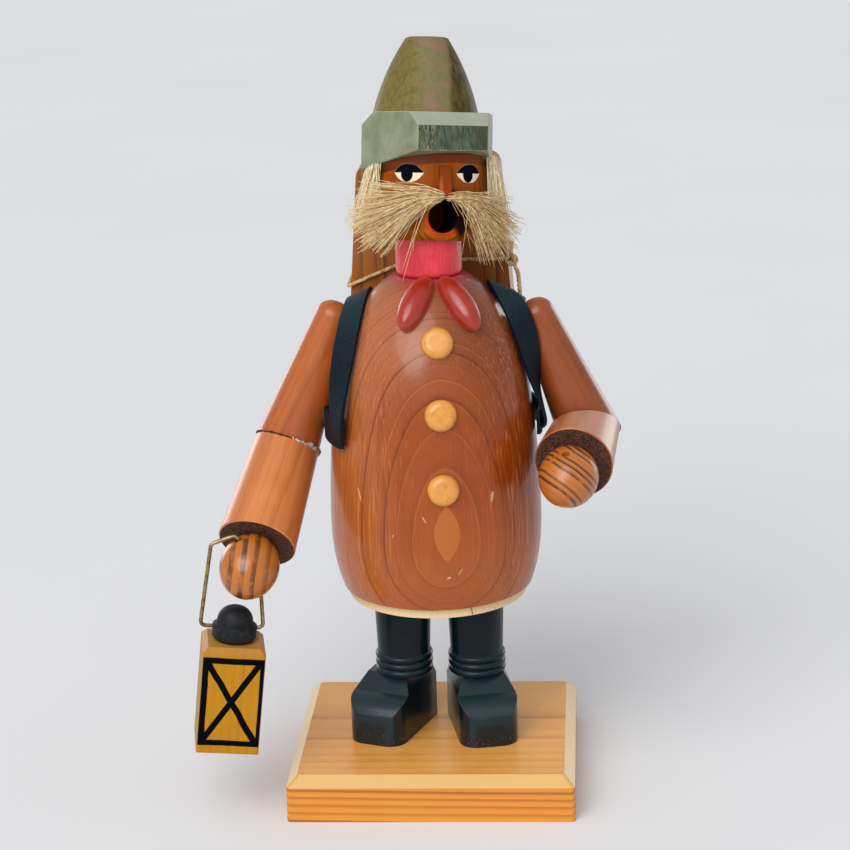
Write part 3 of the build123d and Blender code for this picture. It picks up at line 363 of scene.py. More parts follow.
def pale_mark(look, ragged, spot, run, half, wide):
    run = Vector(run).normalized()
    along, sideways = look.local(spot, run, run.cross(pale_mark_face))
    depth, = look.local(spot, Vector((spot[0], spot[1], 0)).normalized())
    near = look.step(look.size(along), half, half * 0.6)
    rough_edge = look.scaled(ragged, wide, look.size(sideways))
    thin = look.step(rough_edge, wide * 1.6, wide * 0.8)
    return look.all_of(near, thin, look.step(depth, -3.0, -2.0), look.step(ragged, 0.3, 0.55))


def coat_look():
    look = Look("coat_stain")
    phase, number, fibres = rings(look, coat_pith, (0, 0, 1), coat_ring_gap, 0.3, 26.0, 0.68)
    weight = look.scaled(look.math("POWER", look.chance(number), 2.0), 0.8, 0.2)
    late = look.all_of(look.math("POWER", phase, 5.0), look.step(phase, 1.0, 0.94), weight)
    early = look.all_of(look.step(phase, 0.09, 0.02), weight)
    aside, ahead, height = look.local((0, 0, 0), coat_right, coat_front, (0, 0, 1))
    flank = look.step(look.size(aside), 9.0, 30.0)
    stripes = look.noise(look.stretched((0.5, 0.5, 0.012)), 0.55, 3.0, 0.6)
    hairlines = look.noise(look.stretched((1.6, 1.6, 0.014)), 0.9, 2.0, 0.5)
    cloudy = look.noise(look.place, 0.03, 2.0)
    ground = look.mix(look.step(cloudy, 0.3, 0.7), rgb(142, 60, 8), rgb(164, 78, 22))
    # Painted light: the coat's left side is painted paler, and its dark flank stripes are weaker there
    lit = look.step(aside, -12.0, -34.0)
    ground = look.tint(ground, lit, 0.55, rgb(196, 116, 62))
    rich = look.all_of(flank, look.step(stripes, 0.4, 0.64), look.scaled(lit, -0.6, 0.85))
    ground = look.mix(rich, ground, rgb(132, 48, 0))
    skirt = look.step(height, *coat_skirt)
    ground = look.tint(ground, skirt, 0.45, rgb(186, 104, 50))
    upper = look.step(height, *coat_chest)
    # Painted light and shade: the chest is pinkish and paler on the left, a painted highlight, and darker
    # on the right
    chest_light_and_shade = look.mix(look.step(aside, -16.0, 14.0), rgb(178, 112, 82), rgb(112, 60, 42))
    ground = look.tint(ground, upper, 0.6, chest_light_and_shade)
    fine = look.all_of(look.step(hairlines, 0.55, 0.68), look.scaled(flank, 0.65, 0.15))
    ground = look.mix(fine, ground, rgb(196, 116, 58))
    grain = look.math("MULTIPLY", look.centred(fibres), 0.6)
    shade = look.scaled(late, 1.05, grain)
    colour = look.mix(look.step(shade, -0.2, 1.0), ground, rgb(92, 34, 6))
    colour = look.tint(colour, early, 0.45, rgb(210, 132, 74))
    leaf_aside, leaf_height = look.local(leaf_middle, coat_right, (0, 0, 1))
    leaf_reach = look.math("POWER", look.math("DIVIDE", leaf_height, leaf_half_tall), 2.0)
    leaf_edge = look.math("MULTIPLY", look.math("SUBTRACT", 1.0, leaf_reach), leaf_half_wide)
    leaf = look.step(look.math("SUBTRACT", leaf_edge, look.size(leaf_aside)), -0.05, 0.15)
    leaf = look.all_of(leaf, look.step(ahead, 0.0, 1.0))
    colour = look.tint(colour, leaf, 0.7, rgb(188, 106, 44))
    ragged = look.noise(look.place, 1.6, 3.0)
    for pale_spec in scratches_and_highlight:
        mark = pale_mark(look, ragged, *pale_spec)
        colour = look.tint(colour, mark, 0.7, rgb(230, 200, 164))
    neck = look.step(height, *coat_neck)
    smear = look.scaled(neck, 0.34, look.noise(look.place, 0.7, 4.0))
    colour = look.mix(look.step(smear, 0.72, 0.78), colour, rgb(190, 62, 80))
    raise_grain(look, late, fibres, 0.04)
    gloss = look.scaled(fibres, 0.16, 0.26)
    return look.done(colour, gloss, Specular_IOR_Level=0.12, Coat_Weight=0.5, Coat_Roughness=0.14)


dress(coat_look(), "coat")


# Seat disc: pale raw wood with a short crack in its edge
disc_crack = (15.4, -33.2, 78.5)


def disc_look():
    look = Look("disc_pale")
    pale, deep = rgb(232, 204, 156), rgb(204, 166, 112)
    colour, late, fibres = timber(look, pale, deep, (60, 10, 70), (0, 1, 0.05), 2.4, depth=0.3)
    across, inward = look.local(disc_crack, (0.9, 0.42, 0.15), (0.42, -0.9, 0))
    wiggle = look.math("MULTIPLY", look.centred(look.noise(look.place, 0.8, 2.0)), 0.5)
    split = look.step(look.size(look.math("ADD", across, wiggle)), 0.3, 0.12)
    split = look.all_of(split, look.step(inward, -5.0, -2.0))
    colour = look.mix(split, colour, rgb(86, 58, 36))
    return finish_wood(look, colour, late, fibres, 0.6, 0.0)


dress(disc_look(), "seat_disc")


# Base: honey pine, its grain along the board, paler on the bevel, a painted highlight, and darker on the
# sawn edges, painted shade
base_pith = (0, 30, -54)
base_grain = (1, 0.012, 0.004)


def base_look():
    look = Look("base_pine")
    honey, amber = rgb(238, 172, 84), rgb(192, 116, 38)
    colour, late, fibres = timber(look, honey, amber, base_pith, base_grain, 4.2, 1.2, 30.0, depth=0.55)
    rise = look.vector("DOT_PRODUCT", look.normal, (0, 0, 1))
    # Painted highlight: the bevel is painted paler
    bevel = look.all_of(look.step(rise, 0.3, 0.5), look.step(rise, 0.98, 0.92))
    colour = look.tint(colour, bevel, 0.8, rgb(210, 168, 92))
    # Painted shade: the sawn sides are painted darker and more orange; the grain lines further on are drawn
    # only on them
    edge = look.step(rise, 0.6, 0.2)
    colour = look.tint(colour, edge, 0.7, rgb(222, 132, 22))
    phase, number = rings(look, base_pith, base_grain, 1.9, 0.7, 24.0)[:2]
    weight = look.scaled(look.chance(number), 0.6, 0.4)
    line = look.all_of(edge, look.step(phase, 0.35, 0.8), look.step(phase, 1.0, 0.86), weight)
    colour = look.tint(colour, line, 0.75, rgb(128, 62, 10))
    return finish_wood(look, colour, late, fibres, 0.32, 0.12)


dress(base_look(), "base_board")


# Buttons: golden and mottled
def button_look(number):
    look = Look("button_pine_%d" % number)
    pith = (30 + 9 * number, -20 + 30 * number, 150 + 45 * number)
    gold, amber = rgb(224, 156, 68), rgb(190, 114, 34)
    colour, late, fibres = timber(look, gold, amber, pith, (0.2, 1, 0.3), 3.6, depth=0.25)
    blotch = look.noise(look.place, 0.34, 4.0, 0.65)
    colour = look.tint(colour, look.step(blotch, 0.5, 0.72), 0.6, rgb(178, 104, 30))
    return finish_wood(look, colour, late, fibres, 0.32, 0.3)


for number, name in enumerate(("top_button", "middle_button", "bottom_button")):
    dress(button_look(number), name)


# Hands: bold dark streaks, broken up along the grain
def hand_look(name, pith, grain, spacing, rare):
    look = Look(name)
    pale, brown = rgb(194, 112, 36), rgb(134, 68, 18)
    wander, reach = 1.4, 14.0
    colour, late, fibres = timber(look, pale, brown, pith, grain, spacing, wander, reach, depth=0.8)
    phase, number = rings(look, pith, grain, spacing, wander, reach)[:2]
    broken = look.step(look.noise(look.place, 0.16, 3.0, 0.6), 0.34, 0.5)
    chosen = look.step(look.chance(number), rare, rare + 0.2)
    band = look.all_of(look.step(phase, 0.42, 0.66), look.step(phase, 1.0, 0.9), chosen, broken)
    colour = look.tint(colour, band, 0.85, rgb(66, 30, 16))
    return look, colour, late, fibres


left_hand = hand_look("hand_pine_left", (-190, -60, 90), (-0.14, -0.25, -0.96), 4.4, 0.1)
dress(finish_wood(*left_hand, 0.28, 0.3), "lantern_hand")


# Right hand: slanting stripes and a pale flat left by a tool
flat_middle = (50.4, -44.0, 121.0)
flat_half_wide = 2.2
flat_half_tall = 1.9
flat_edge = 0.2


def staff_hand_look():
    look, colour, late, fibres = hand_look("hand_pine_right", (150, 20, 196), (0.62, 0.3, -0.72), 2.1, 0.15)
    aside, rise = look.local(flat_middle, (0.98, 0.15, 0), (0, 0, 1))
    wide = look.step(look.size(aside), flat_half_wide, flat_half_wide - flat_edge)
    tall = look.step(look.size(rise), flat_half_tall, flat_half_tall - flat_edge)
    colour = look.tint(colour, look.all_of(wide, tall), 0.8, rgb(226, 156, 80))
    return finish_wood(look, colour, late, fibres, 0.36, 0.3)


dress(staff_hand_look(), "staff_hand")

# Pack boards: honey-brown, each from its own part of the tree
pack_piths = {
    "pack_front": 30,
    "pack_back": -46,
    "pack_left_side": -70,
    "pack_right_side": 74,
    "pack_floor": 10,
}
pack_pith_back = 96
pack_grain = (0.02, 0, 1)
pack_light, pack_dark = rgb(170, 98, 26), rgb(100, 50, 8)
for name, pith_x in pack_piths.items():
    pith = (pith_x, pack_pith_back, 0)
    board = wood("board_" + name, pack_light, pack_dark, pith, pack_grain, 3.2, 0.42, 0.2)
    dress(board, name)

# Dowels: pale raw wood
raw_light, raw_dark = rgb(226, 196, 148), rgb(196, 156, 104)
raw_dowel = wood("dowel_wood", raw_light, raw_dark, (40, 40, 0), (0.1, 0.1, 1), 2.0, 0.6, 0.0)
dress(raw_dowel, "boot_dowels", "pack_dowels")
dress(raw_dowel, "lantern_elbow_dowel", "lantern_shoulder_dowel")
dress(raw_dowel, "staff_elbow_dowel", "staff_shoulder_dowel")


# Sleeves: stained limbs, with the open grain of the cuff end darker and rougher
def sleeve_look(name, pith, grain, light, dark, painted_light=False):
    """One limb's stain. With painted_light, what faces up and to the right is painted paler, a painted
    highlight.
    """
    look = Look(name)
    along, = look.local(pith, grain)
    across = look.vector("SUBTRACT", look.place, look.vector("SCALE", tuple(grain), scale=along))
    colour, late, fibres = timber(look, light, dark, pith, grain, 3.0, 0.7, 20.0, depth=0.35)
    stripes = look.noise(across, 0.12, 2.0)
    colour = look.tint(colour, look.step(stripes, 0.42, 0.62), 0.45, dark)
    if painted_light:
        # Painted highlight: faces that look up and to the right are painted paler and pinkish
        lit_faces = look.facing((0.55, 0.1, 0.83), 0.2, 0.95)
        colour = look.tint(colour, lit_faces, 0.6, rgb(190, 150, 124))
    end = look.facing(grain, 0.75, 0.9)
    pores = look.noise(look.place, 1.3, 5.0, 0.7)
    raw = look.mix(look.step(pores, 0.4, 0.62), rgb(34, 16, 10), rgb(104, 58, 38))
    colour = look.mix(end, colour, raw)
    torn = look.math("MULTIPLY", look.math("MULTIPLY", end, pores), 8.0)
    look.bump(look.math("ADD", look.scaled(fibres, 0.1, late), torn), 0.06)
    gloss = look.scaled(end, 0.4, look.scaled(fibres, 0.14, 0.28))
    shine = look.scaled(end, -0.2, 0.2)
    return look.done(colour, gloss, Specular_IOR_Level=0.4, Coat_Weight=shine, Coat_Roughness=0.2)


tan, rust = rgb(184, 98, 42), rgb(136, 58, 8)
sand, clay = rgb(214, 132, 74), rgb(164, 84, 28)
umber, bark = rgb(152, 76, 34), rgb(104, 42, 8)
dress(sleeve_look("sleeve_upper_left", (-96, 60, 150), lantern_upper, tan, rust), "lantern_upper_arm")
dress(sleeve_look("sleeve_fore_left", (-118, 30, 130), lantern_fore, sand, clay), "lantern_forearm")
dress(sleeve_look("sleeve_upper_right", (96, 60, 150), staff_upper, umber, bark), "staff_upper_arm")
dress(sleeve_look("sleeve_fore_right", (100, 0, 190), staff_fore, tan, rust, True), "staff_forearm")


# Head: stained, painted shadow under the brim, painted eyes and lips, two dark arcs under the mouth, and
# soot in the mouth
eye_white = rgb(236, 222, 196)
eye_black = rgb(6, 8, 20)
# Each eye: its middle, measured round the face, and half its width
eyes = ((-13.6, 6.0), (10.5, 5.8))
eye_height = 24.9
eye_half_tall = 3.35
iris_half_wide = 2.4
iris_half_tall = 2.9
brim_shadow_width = 3.6
lip_radius = 7.0
mouth_radius = 5.6
chin_lines = (8.9, 10.6)
soot_reach = (12.5, 9.0)


def eye_marks(look, around, level, middle, half):
    """Masks of one eye's white and of its lid and iris."""
    aside = look.math("SUBTRACT", around, middle)
    rise = look.math("SUBTRACT", level, eye_height)
    reach = look.size(look.math("DIVIDE", aside, half))
    bow = look.math("SUBTRACT", 1.0, look.math("POWER", reach, 2.5))
    lens = look.math("SUBTRACT", look.math("MULTIPLY", bow, eye_half_tall), look.size(rise))
    white = look.step(lens, -0.12, 0.12)
    lid_edge = look.math("SUBTRACT", rise, look.math("MULTIPLY", bow, 0.1))
    lid = look.step(lid_edge, -0.15, 0.15)
    iris_across = look.math("DIVIDE", look.math("ADD", aside, 0.6), iris_half_wide)
    iris_up = look.math("DIVIDE", look.math("ADD", rise, 0.4), iris_half_tall)
    iris_far = look.math("ADD", look.math("POWER", iris_across, 2.0), look.math("POWER", iris_up, 2.0))
    iris = look.step(iris_far, 1.1, 0.9)
    return white, look.all_of(white, look.math("MAXIMUM", lid, iris))


def head_look():
    look = Look("head_stain")
    light, dark = rgb(154, 80, 0), rgb(84, 38, 0)
    colour, late, fibres = timber(look, light, dark, (20, 70, 230), head_up, 2.4, 0.5, depth=0.5)
    right, ahead, height = look.local(head_foot, face_right, face_way, head_up)
    wave = look.centred(look.noise(look.place, 0.9, 2.0))
    around = look.math("MULTIPLY", look.math("ARCTAN2", right, ahead), head_radius)
    around = look.scaled(wave, 0.5, around)
    level = look.scaled(wave, 0.5, height)
    skin = look.math("GREATER_THAN", ahead, 0.0)
    # Painted shadow: a dark band on the head just under the brim, partly the head's own darker brown
    lift, = look.local(brim_seat_spot, brim_seat_up)
    band = look.step(look.scaled(wave, 0.5, lift), -brim_shadow_width - 0.2, -brim_shadow_width + 0.2)
    brim_shadow_tone = look.mix(look.step(around, 6.0, 16.0), rgb(74, 28, 8), rgb(78, 54, 24))
    colour = look.tint(colour, band, 0.9, brim_shadow_tone)
    flush = look.all_of(look.step(look.size(around), 26.0, 16.0), look.step(height, 15.0, 19.0))
    colour = look.tint(colour, flush, 0.3, rgb(142, 62, 4))
    dark_mask = 0.0
    for middle, half in eyes:
        white, black = eye_marks(look, around, level, middle, half)
        colour = look.mix(look.all_of(white, skin), colour, eye_white)
        colour = look.mix(look.all_of(black, skin), colour, eye_black)
        dark_mask = look.math("MAXIMUM", look.all_of(black, skin), dark_mask)
    from_mouth = look.math("SUBTRACT", level, mouth_height)
    square = look.math("ADD", look.math("POWER", right, 2.0), look.math("POWER", from_mouth, 2.0))
    ring = look.math("SQRT", square)
    below = look.step(from_mouth, 3.0, -3.0)
    chin = look.all_of(look.step(from_mouth, -3.0, -6.0), look.step(ring, 14.0, 8.0), skin)
    colour = look.tint(colour, chin, 0.55, rgb(192, 104, 16))
    painted = look.step(ring, lip_radius + 0.4, lip_radius - 0.4)
    lip = look.all_of(painted, look.scaled(below, 0.9, 0.05), skin)
    colour = look.mix(lip, colour, rgb(198, 54, 18))
    under = look.all_of(look.step(from_mouth, -4.5, -6.0), skin)
    for radius in chin_lines:
        near = look.step(look.size(look.math("SUBTRACT", ring, radius)), 0.4, 0.2)
        colour = look.tint(colour, look.all_of(near, under), 0.7, rgb(88, 36, 12))
    smoke_way = (face_right + head_up * 0.7).normalized()
    smoke_right, = look.local(head_foot + head_up * mouth_height, smoke_way)
    soot = look.all_of(look.step(ring, *soot_reach), look.step(smoke_right, -0.5, 2.5), skin)
    colour = look.tint(colour, soot, 0.97, rgb(8, 5, 5))
    hole = look.all_of(look.step(ring, mouth_radius + 0.15, mouth_radius - 0.15), skin)
    colour = look.mix(hole, colour, rgb(10, 8, 8))
    raise_grain(look, late, fibres)
    matt = look.math("MAXIMUM", dark_mask, look.math("MAXIMUM", soot, hole))
    gloss = look.scaled(matt, 0.3, 0.34)
    shine = look.scaled(matt, -0.1, 0.12)
    return look.done(colour, gloss, Specular_IOR_Level=shine)


dress(head_look(), "head")


# Nose: a small wedge, redder than the face and fading into it at the top, with a painted highlight on its
# left edge
def nose_look():
    look = Look("nose_stain")
    height, aside = look.local(head_foot, head_up, face_right)
    tone = look.noise(look.stretched((1.0, 1.0, 0.2)), 0.9, 3.0)
    colour = look.mix(tone, rgb(124, 42, 2), rgb(146, 60, 6))
    colour = look.mix(look.step(height, 21.0, 26.5), colour, rgb(118, 50, 4))
    # Painted highlight: a pale line down the nose's left edge
    edge = look.all_of(look.step(aside, -0.6, -1.8), look.step(height, 25.0, 20.0))
    colour = look.tint(colour, edge, 0.5, rgb(206, 112, 70))
    look.bump(tone, 0.05)
    return look.done(colour, 0.4, Specular_IOR_Level=0.12)


dress(nose_look(), "nose")


# Hat crown: olive stain over open grain, paler and pinkish in a column down the front, brown streaks and
# painted shade to the right
crown_right = face_right * 0.98 - face_way * 0.1
crown_front = (0.05, -0.98, 0.18)


def crown_look():
    look = Look("crown_stain")
    olive, moss = rgb(118, 108, 54), rgb(66, 56, 18)
    colour, late, fibres = timber(look, olive, moss, (10, 60, 270), head_up, 2.6, 1.6, 14.0, depth=0.25)
    around, ahead, height = look.local(hat_foot, crown_right, crown_front, head_up)
    veins = look.noise(look.stretched((1.4, 1.4, 0.1)), 0.5, 3.0)
    colour = look.tint(colour, look.step(veins, 0.45, 0.65), 0.5, rgb(92, 66, 18))
    waves = look.noise(look.stretched((0.6, 0.6, 2.2)), 0.12, 3.0, 0.6, 0.6)
    off_middle = look.size(look.math("ADD", around, 0.5))
    middle = look.all_of(look.step(off_middle, 8.0, 3.0), look.step(ahead, 0.0, 4.0))
    colour = look.tint(colour, middle, 0.65, rgb(118, 112, 78))
    pink = look.all_of(middle, look.step(waves, 0.46, 0.6))
    colour = look.tint(colour, pink, 0.75, rgb(138, 102, 86))
    # Painted shade: the crown's right side is painted darker, in brown streaks
    slant = look.scaled(height, -0.1, around)
    brown = look.step(slant, 0.0, 2.6)
    streaks = look.noise(look.vector("ADD", look.stretched((1.2, 1.2, 0.06)), (3.0, 1.0, 0.0)), 0.5, 3.0)
    shade_browns = look.mix(look.step(streaks, 0.38, 0.62), rgb(38, 34, 2), rgb(90, 68, 12))
    colour = look.tint(colour, brown, 0.85, shade_browns)
    raise_grain(look, late, fibres)
    return look.done(colour, 0.5, Specular_IOR_Level=0.2)


dress(crown_look(), "hat_crown")


# Hat brim: sage paint, a painted highlight on top, painted shade on the front flat, rubbed through at the
# arrises and the flat's left corner
brim_reach = 26.0
brim_front = brim_seat_spot + brim_front_way * brim_reach


def brim_look():
    look = Look("brim_paint")
    cloud = look.noise(look.place, 0.1, 4.0, 0.6)
    brush = look.noise(look.stretched((1.6, 1.6, 0.16)), 0.9, 3.0)
    colour = look.mix(look.step(cloud, 0.3, 0.7), rgb(112, 118, 90), rgb(140, 146, 118))
    colour = look.tint(colour, look.step(brush, 0.45, 0.75), 0.3, rgb(104, 110, 82))
    # Painted highlight: faces that look up are painted paler
    above = look.facing(head_up, 0.35, 0.6)
    colour = look.tint(colour, above, 0.6, rgb(176, 178, 162))
    # Painted shade: the front flat is painted a darker green, with brush streaks
    front = look.facing(brim_front_way, 0.93, 0.97)
    moss = look.mix(look.step(brush, 0.3, 0.75), rgb(40, 56, 42), rgb(92, 104, 78))
    colour = look.mix(front, colour, moss)
    brim_side = brim_front_way.cross(brim_seat_up).normalized()
    sideways, = look.local(brim_front, brim_side)
    flecks = look.noise(look.stretched((2.0, 2.0, 0.5)), 0.9, 4.0, 0.7)
    far_right = look.all_of(front, look.step(sideways, -6.0, -11.0))
    colour = look.tint(colour, far_right, 0.6, rgb(58, 54, 26))
    corner = look.all_of(front, look.step(sideways, 6.5, 9.5), look.step(flecks, 0.5, 0.64))
    colour = look.tint(colour, corner, 0.6, rgb(172, 164, 124))
    rub = look.all_of(look.worn(0.9), look.step(look.noise(look.place, 0.6, 4.0, 0.7), 0.4, 0.55))
    colour = look.tint(colour, rub, 0.8, rgb(206, 190, 150))
    look.bump(look.math("ADD", brush, cloud), 0.08)
    return look.done(colour, 0.5, Specular_IOR_Level=0.35, Coat_Weight=0.1, Coat_Roughness=0.3)


dress(brim_look(), "hat_brim")


# Boots and legs: black gloss with a blue-green cast, a painted highlight on faces that look up, rubbed
# through on the toes
def boot_look(name, shine, varnish):
    look = Look(name)
    cloud = look.noise(look.place, 0.14, 4.0, 0.6)
    brush = look.noise(look.stretched((1.2, 1.2, 0.3)), 0.8, 3.0)
    colour = look.mix(cloud, rgb(2, 12, 18), rgb(8, 32, 42))
    # Painted highlight: faces that look up and forward are painted a paler blue-green
    top_highlight = look.facing((0, -0.5, 0.87), 0.45, 0.95)
    colour = look.tint(colour, top_highlight, 0.5, rgb(38, 62, 66))
    height, front = look.local((0, 0, base_top), (0, 0, 1), (0, -1, 0))
    grit = look.noise(look.stretched((1.0, 1.0, 0.45)), 2.4, 4.0, 0.75)
    rubbed = look.all_of(look.step(grit, 0.6, 0.68), look.step(height, 9.0, 2.0))
    rubbed = look.all_of(rubbed, look.step(front, 8.0, 18.0))
    colour = look.tint(colour, rubbed, 0.6, rgb(178, 150, 112))
    arris = look.all_of(look.worn(0.7), look.step(look.noise(look.place, 0.6, 3.0, 0.7), 0.52, 0.64))
    colour = look.tint(colour, arris, 0.45, rgb(140, 140, 130))
    look.bump(look.math("ADD", brush, cloud), 0.07)
    return look.done(colour, 0.3, Specular_IOR_Level=shine, Coat_Weight=varnish, Coat_Roughness=0.15)


dress(boot_look("boot_black", 0.3, 0.2), "left_boot", "right_boot")
dress(boot_look("leg_black", 0.15, 0.1), "left_leg", "right_leg")


# Scarf: brushed rose paint, a little cloudy
def scarf_look():
    look = Look("scarf_rose")
    cloud = look.noise(look.place, 0.12, 4.0, 0.6)
    brush = look.noise(look.stretched((1.4, 1.4, 0.2)), 0.9, 3.0)
    mood = look.scaled(look.centred(brush), 0.6, cloud)
    look.bump(look.math("ADD", brush, cloud), 0.1)
    colour = look.mix(look.step(mood, 0.3, 0.72), rgb(216, 40, 52), rgb(240, 64, 74))
    return look.done(colour, 0.45, Coat_Weight=0.1, Coat_Roughness=0.2)


dress(scarf_look(), "scarf_band")


# Scarf tails: deeper and glossier, paler round their outline, a painted sheen
def tail_look():
    look = Look("tail_rose")
    cloud = look.noise(look.place, 0.16, 4.0, 0.6)
    # Painted sheen: the tails are painted paler round their outline
    layer = look.node("LayerWeight")
    layer.inputs["Blend"].default_value = 0.35
    rim_sheen = look.step(layer.outputs["Facing"], 0.25, 0.8)
    colour = look.mix(cloud, rgb(140, 28, 12), rgb(170, 46, 26))
    colour = look.tint(colour, rim_sheen, 0.55, rgb(204, 104, 86))
    look.bump(cloud, 0.1)
    return look.done(colour, 0.3, Coat_Weight=0.35, Coat_Roughness=0.16)


dress(tail_look(), "left_scarf_tail", "right_scarf_tail")


# Lantern: ochre block with a painted black frame and cross
border_top = lantern_top - 3.4
border_bottom = lantern_bottom + 3.2
left_bar_wide = 2.6
right_bar_wide = 1.7
top_bar_wide = 2.4
bottom_bar_wide = 2.2
cross_half_wide = 2.2
cross_half_tall = (border_top - border_bottom) / 2 - 1.0
cross_half_side = lantern_half - 1.4
paint_edge = 0.1


def up_to(look, value, limit):
    """1 up to a limit, with the narrow soft edge of a painted line."""
    return look.step(value, limit + paint_edge, limit - paint_edge)


def beyond(look, value, limit):
    return look.step(value, limit - paint_edge, limit + paint_edge)


def lantern_look():
    look = Look("lantern_ochre")
    ochre, deep = rgb(190, 130, 10), rgb(146, 92, 4)
    colour, _, fibres = timber(look, ochre, deep, (-160, -60, 50), lantern_up, 3.4, depth=0.4)
    right, up = look.local(lantern_pivot, lantern_right, lantern_up)
    forward = look.facing(lantern_front, 0.7, 0.8)
    pale = look.math("SUBTRACT", 1.0, look.math("MAXIMUM", forward, look.facing(-lantern_front, 0.7, 0.8)))
    colour = look.tint(colour, pale, 0.55, rgb(166, 124, 60))
    wobble = look.math("MULTIPLY", look.centred(look.noise(look.place, 0.12, 2.0)), 0.8)
    aside = look.math("ADD", right, wobble)
    level = look.math("ADD", up, wobble)
    inside = look.all_of(up_to(look, level, border_top), beyond(look, level, border_bottom))
    left_bar = up_to(look, aside, -lantern_half + left_bar_wide)
    right_bar = beyond(look, aside, lantern_half - right_bar_wide)
    bars = look.math("MAXIMUM", left_bar, right_bar)
    bars = look.math("MAXIMUM", bars, beyond(look, level, border_top - top_bar_wide))
    bars = look.math("MAXIMUM", bars, up_to(look, level, border_bottom + bottom_bar_wide))
    middle = (border_top + border_bottom) / 2
    for lean in (1, -1):
        slope = look.math("MULTIPLY", aside, cross_half_tall / cross_half_side * lean)
        off = look.math("SUBTRACT", slope, look.math("SUBTRACT", level, middle))
        bars = look.math("MAXIMUM", bars, up_to(look, look.size(off), cross_half_wide))
    lines = look.all_of(bars, inside, forward)
    colour = look.mix(lines, colour, rgb(2, 4, 8))
    look.bump(look.scaled(fibres, 0.3, look.math("MULTIPLY", lines, 2.0)), 0.05)
    shine = look.scaled(lines, -0.2, 0.25)
    return look.done(colour, 0.5, Specular_IOR_Level=shine)


dress(lantern_look(), "lantern_block")


# Lantern cap: dusty black
def cap_look():
    look = Look("cap_black")
    dust = look.noise(look.place, 0.5, 5.0, 0.7)
    colour = look.mix(look.step(dust, 0.45, 0.8), rgb(8, 12, 16), rgb(40, 46, 52))
    look.bump(dust, 0.05)
    return look.done(colour, 0.6, Specular_IOR_Level=0.3)


dress(cap_look(), "lantern_cap")


# Metal: the bail's tarnished wire, the tin dish and its tack
def metal(name, bright, dull, rough):
    look = Look(name)
    tarnish = look.noise(look.place, 0.4, 4.0, 0.65)
    colour = look.mix(look.step(tarnish, 0.35, 0.65), dull, bright)
    look.bump(tarnish, 0.03)
    return look.done(colour, look.scaled(tarnish, 0.25, rough), Metallic=0.85)


dress(metal("bail_wire", rgb(176, 150, 104), rgb(110, 88, 58), 0.25), "lantern_bail")
dress(metal("dish_tin", rgb(190, 188, 182), rgb(120, 112, 102), 0.3), "incense_dish")
dress(metal("tack_steel", rgb(190, 188, 184), rgb(130, 126, 120), 0.25), "dish_tack")


# Straps: pebbled black leather, with a painted sheen on faces that look up
def leather_look():
    look = Look("strap_leather")
    pebble = look.cells(look.place, 1.15)
    cloud = look.noise(look.place, 0.1, 3.0)
    colour = look.mix(cloud, rgb(1, 10, 20), rgb(6, 28, 42))
    colour = look.tint(colour, look.step(pebble, 0.5, 0.1), 0.2, rgb(40, 54, 62))
    # Painted sheen: faces that look up are painted a paler blue-grey
    over = look.facing((0, -0.3, 0.95), 0.55, 0.95)
    colour = look.tint(colour, over, 0.4, rgb(36, 60, 68))
    look.bump(look.step(pebble, 0.75, 0.1), 0.1)
    return look.done(colour, 0.5, Specular_IOR_Level=0.15)


dress(leather_look(), "left_strap", "right_strap")

# Rounded arrises on sawn and cut pieces
soften(0.5, "base_board", "hat_brim", "pack_left_side", "pack_right_side", "pack_front", "pack_back")
soften(0.8, "left_boot", "right_boot")
soften(0.25, "left_strap", "right_strap", "nose")


# Straw fibres: moustache fans and hair, each a bundle of bent tapering tubes
def straw_look(name, pale, middle, dark):
    look = Look(name)
    tone = look.noise(look.place, 0.5, 3.0, 0.6)
    strand = look.noise(look.place, 2.1, 2.0)
    colour = look.mix(look.step(tone, 0.35, 0.65), middle, pale)
    colour = look.tint(colour, look.step(strand, 0.55, 0.7), 0.6, dark)
    return look.done(colour, 0.55)


straw = straw_look("straw", rgb(250, 226, 178), rgb(218, 182, 122), rgb(142, 102, 56))
dark_straw = straw_look("dark_straw", rgb(232, 204, 152), rgb(184, 146, 90), rgb(104, 70, 34))
hair_straw = straw_look("hair_straw", rgb(244, 230, 198), rgb(222, 202, 162), rgb(178, 148, 104))
strand_radii = (0.11, 0.2)
stray_share = 0.12
stray_spread = 20
fan_spread = 4
hair_depths = (0.5, 3.9)
hair_lengths = (15, 23)
lip_height = 16.6
lip_drop = 1.4
lip_width = 7.2


def on_face(right, ahead, height):
    return head_foot + face_right * right + face_way * ahead + head_up * height


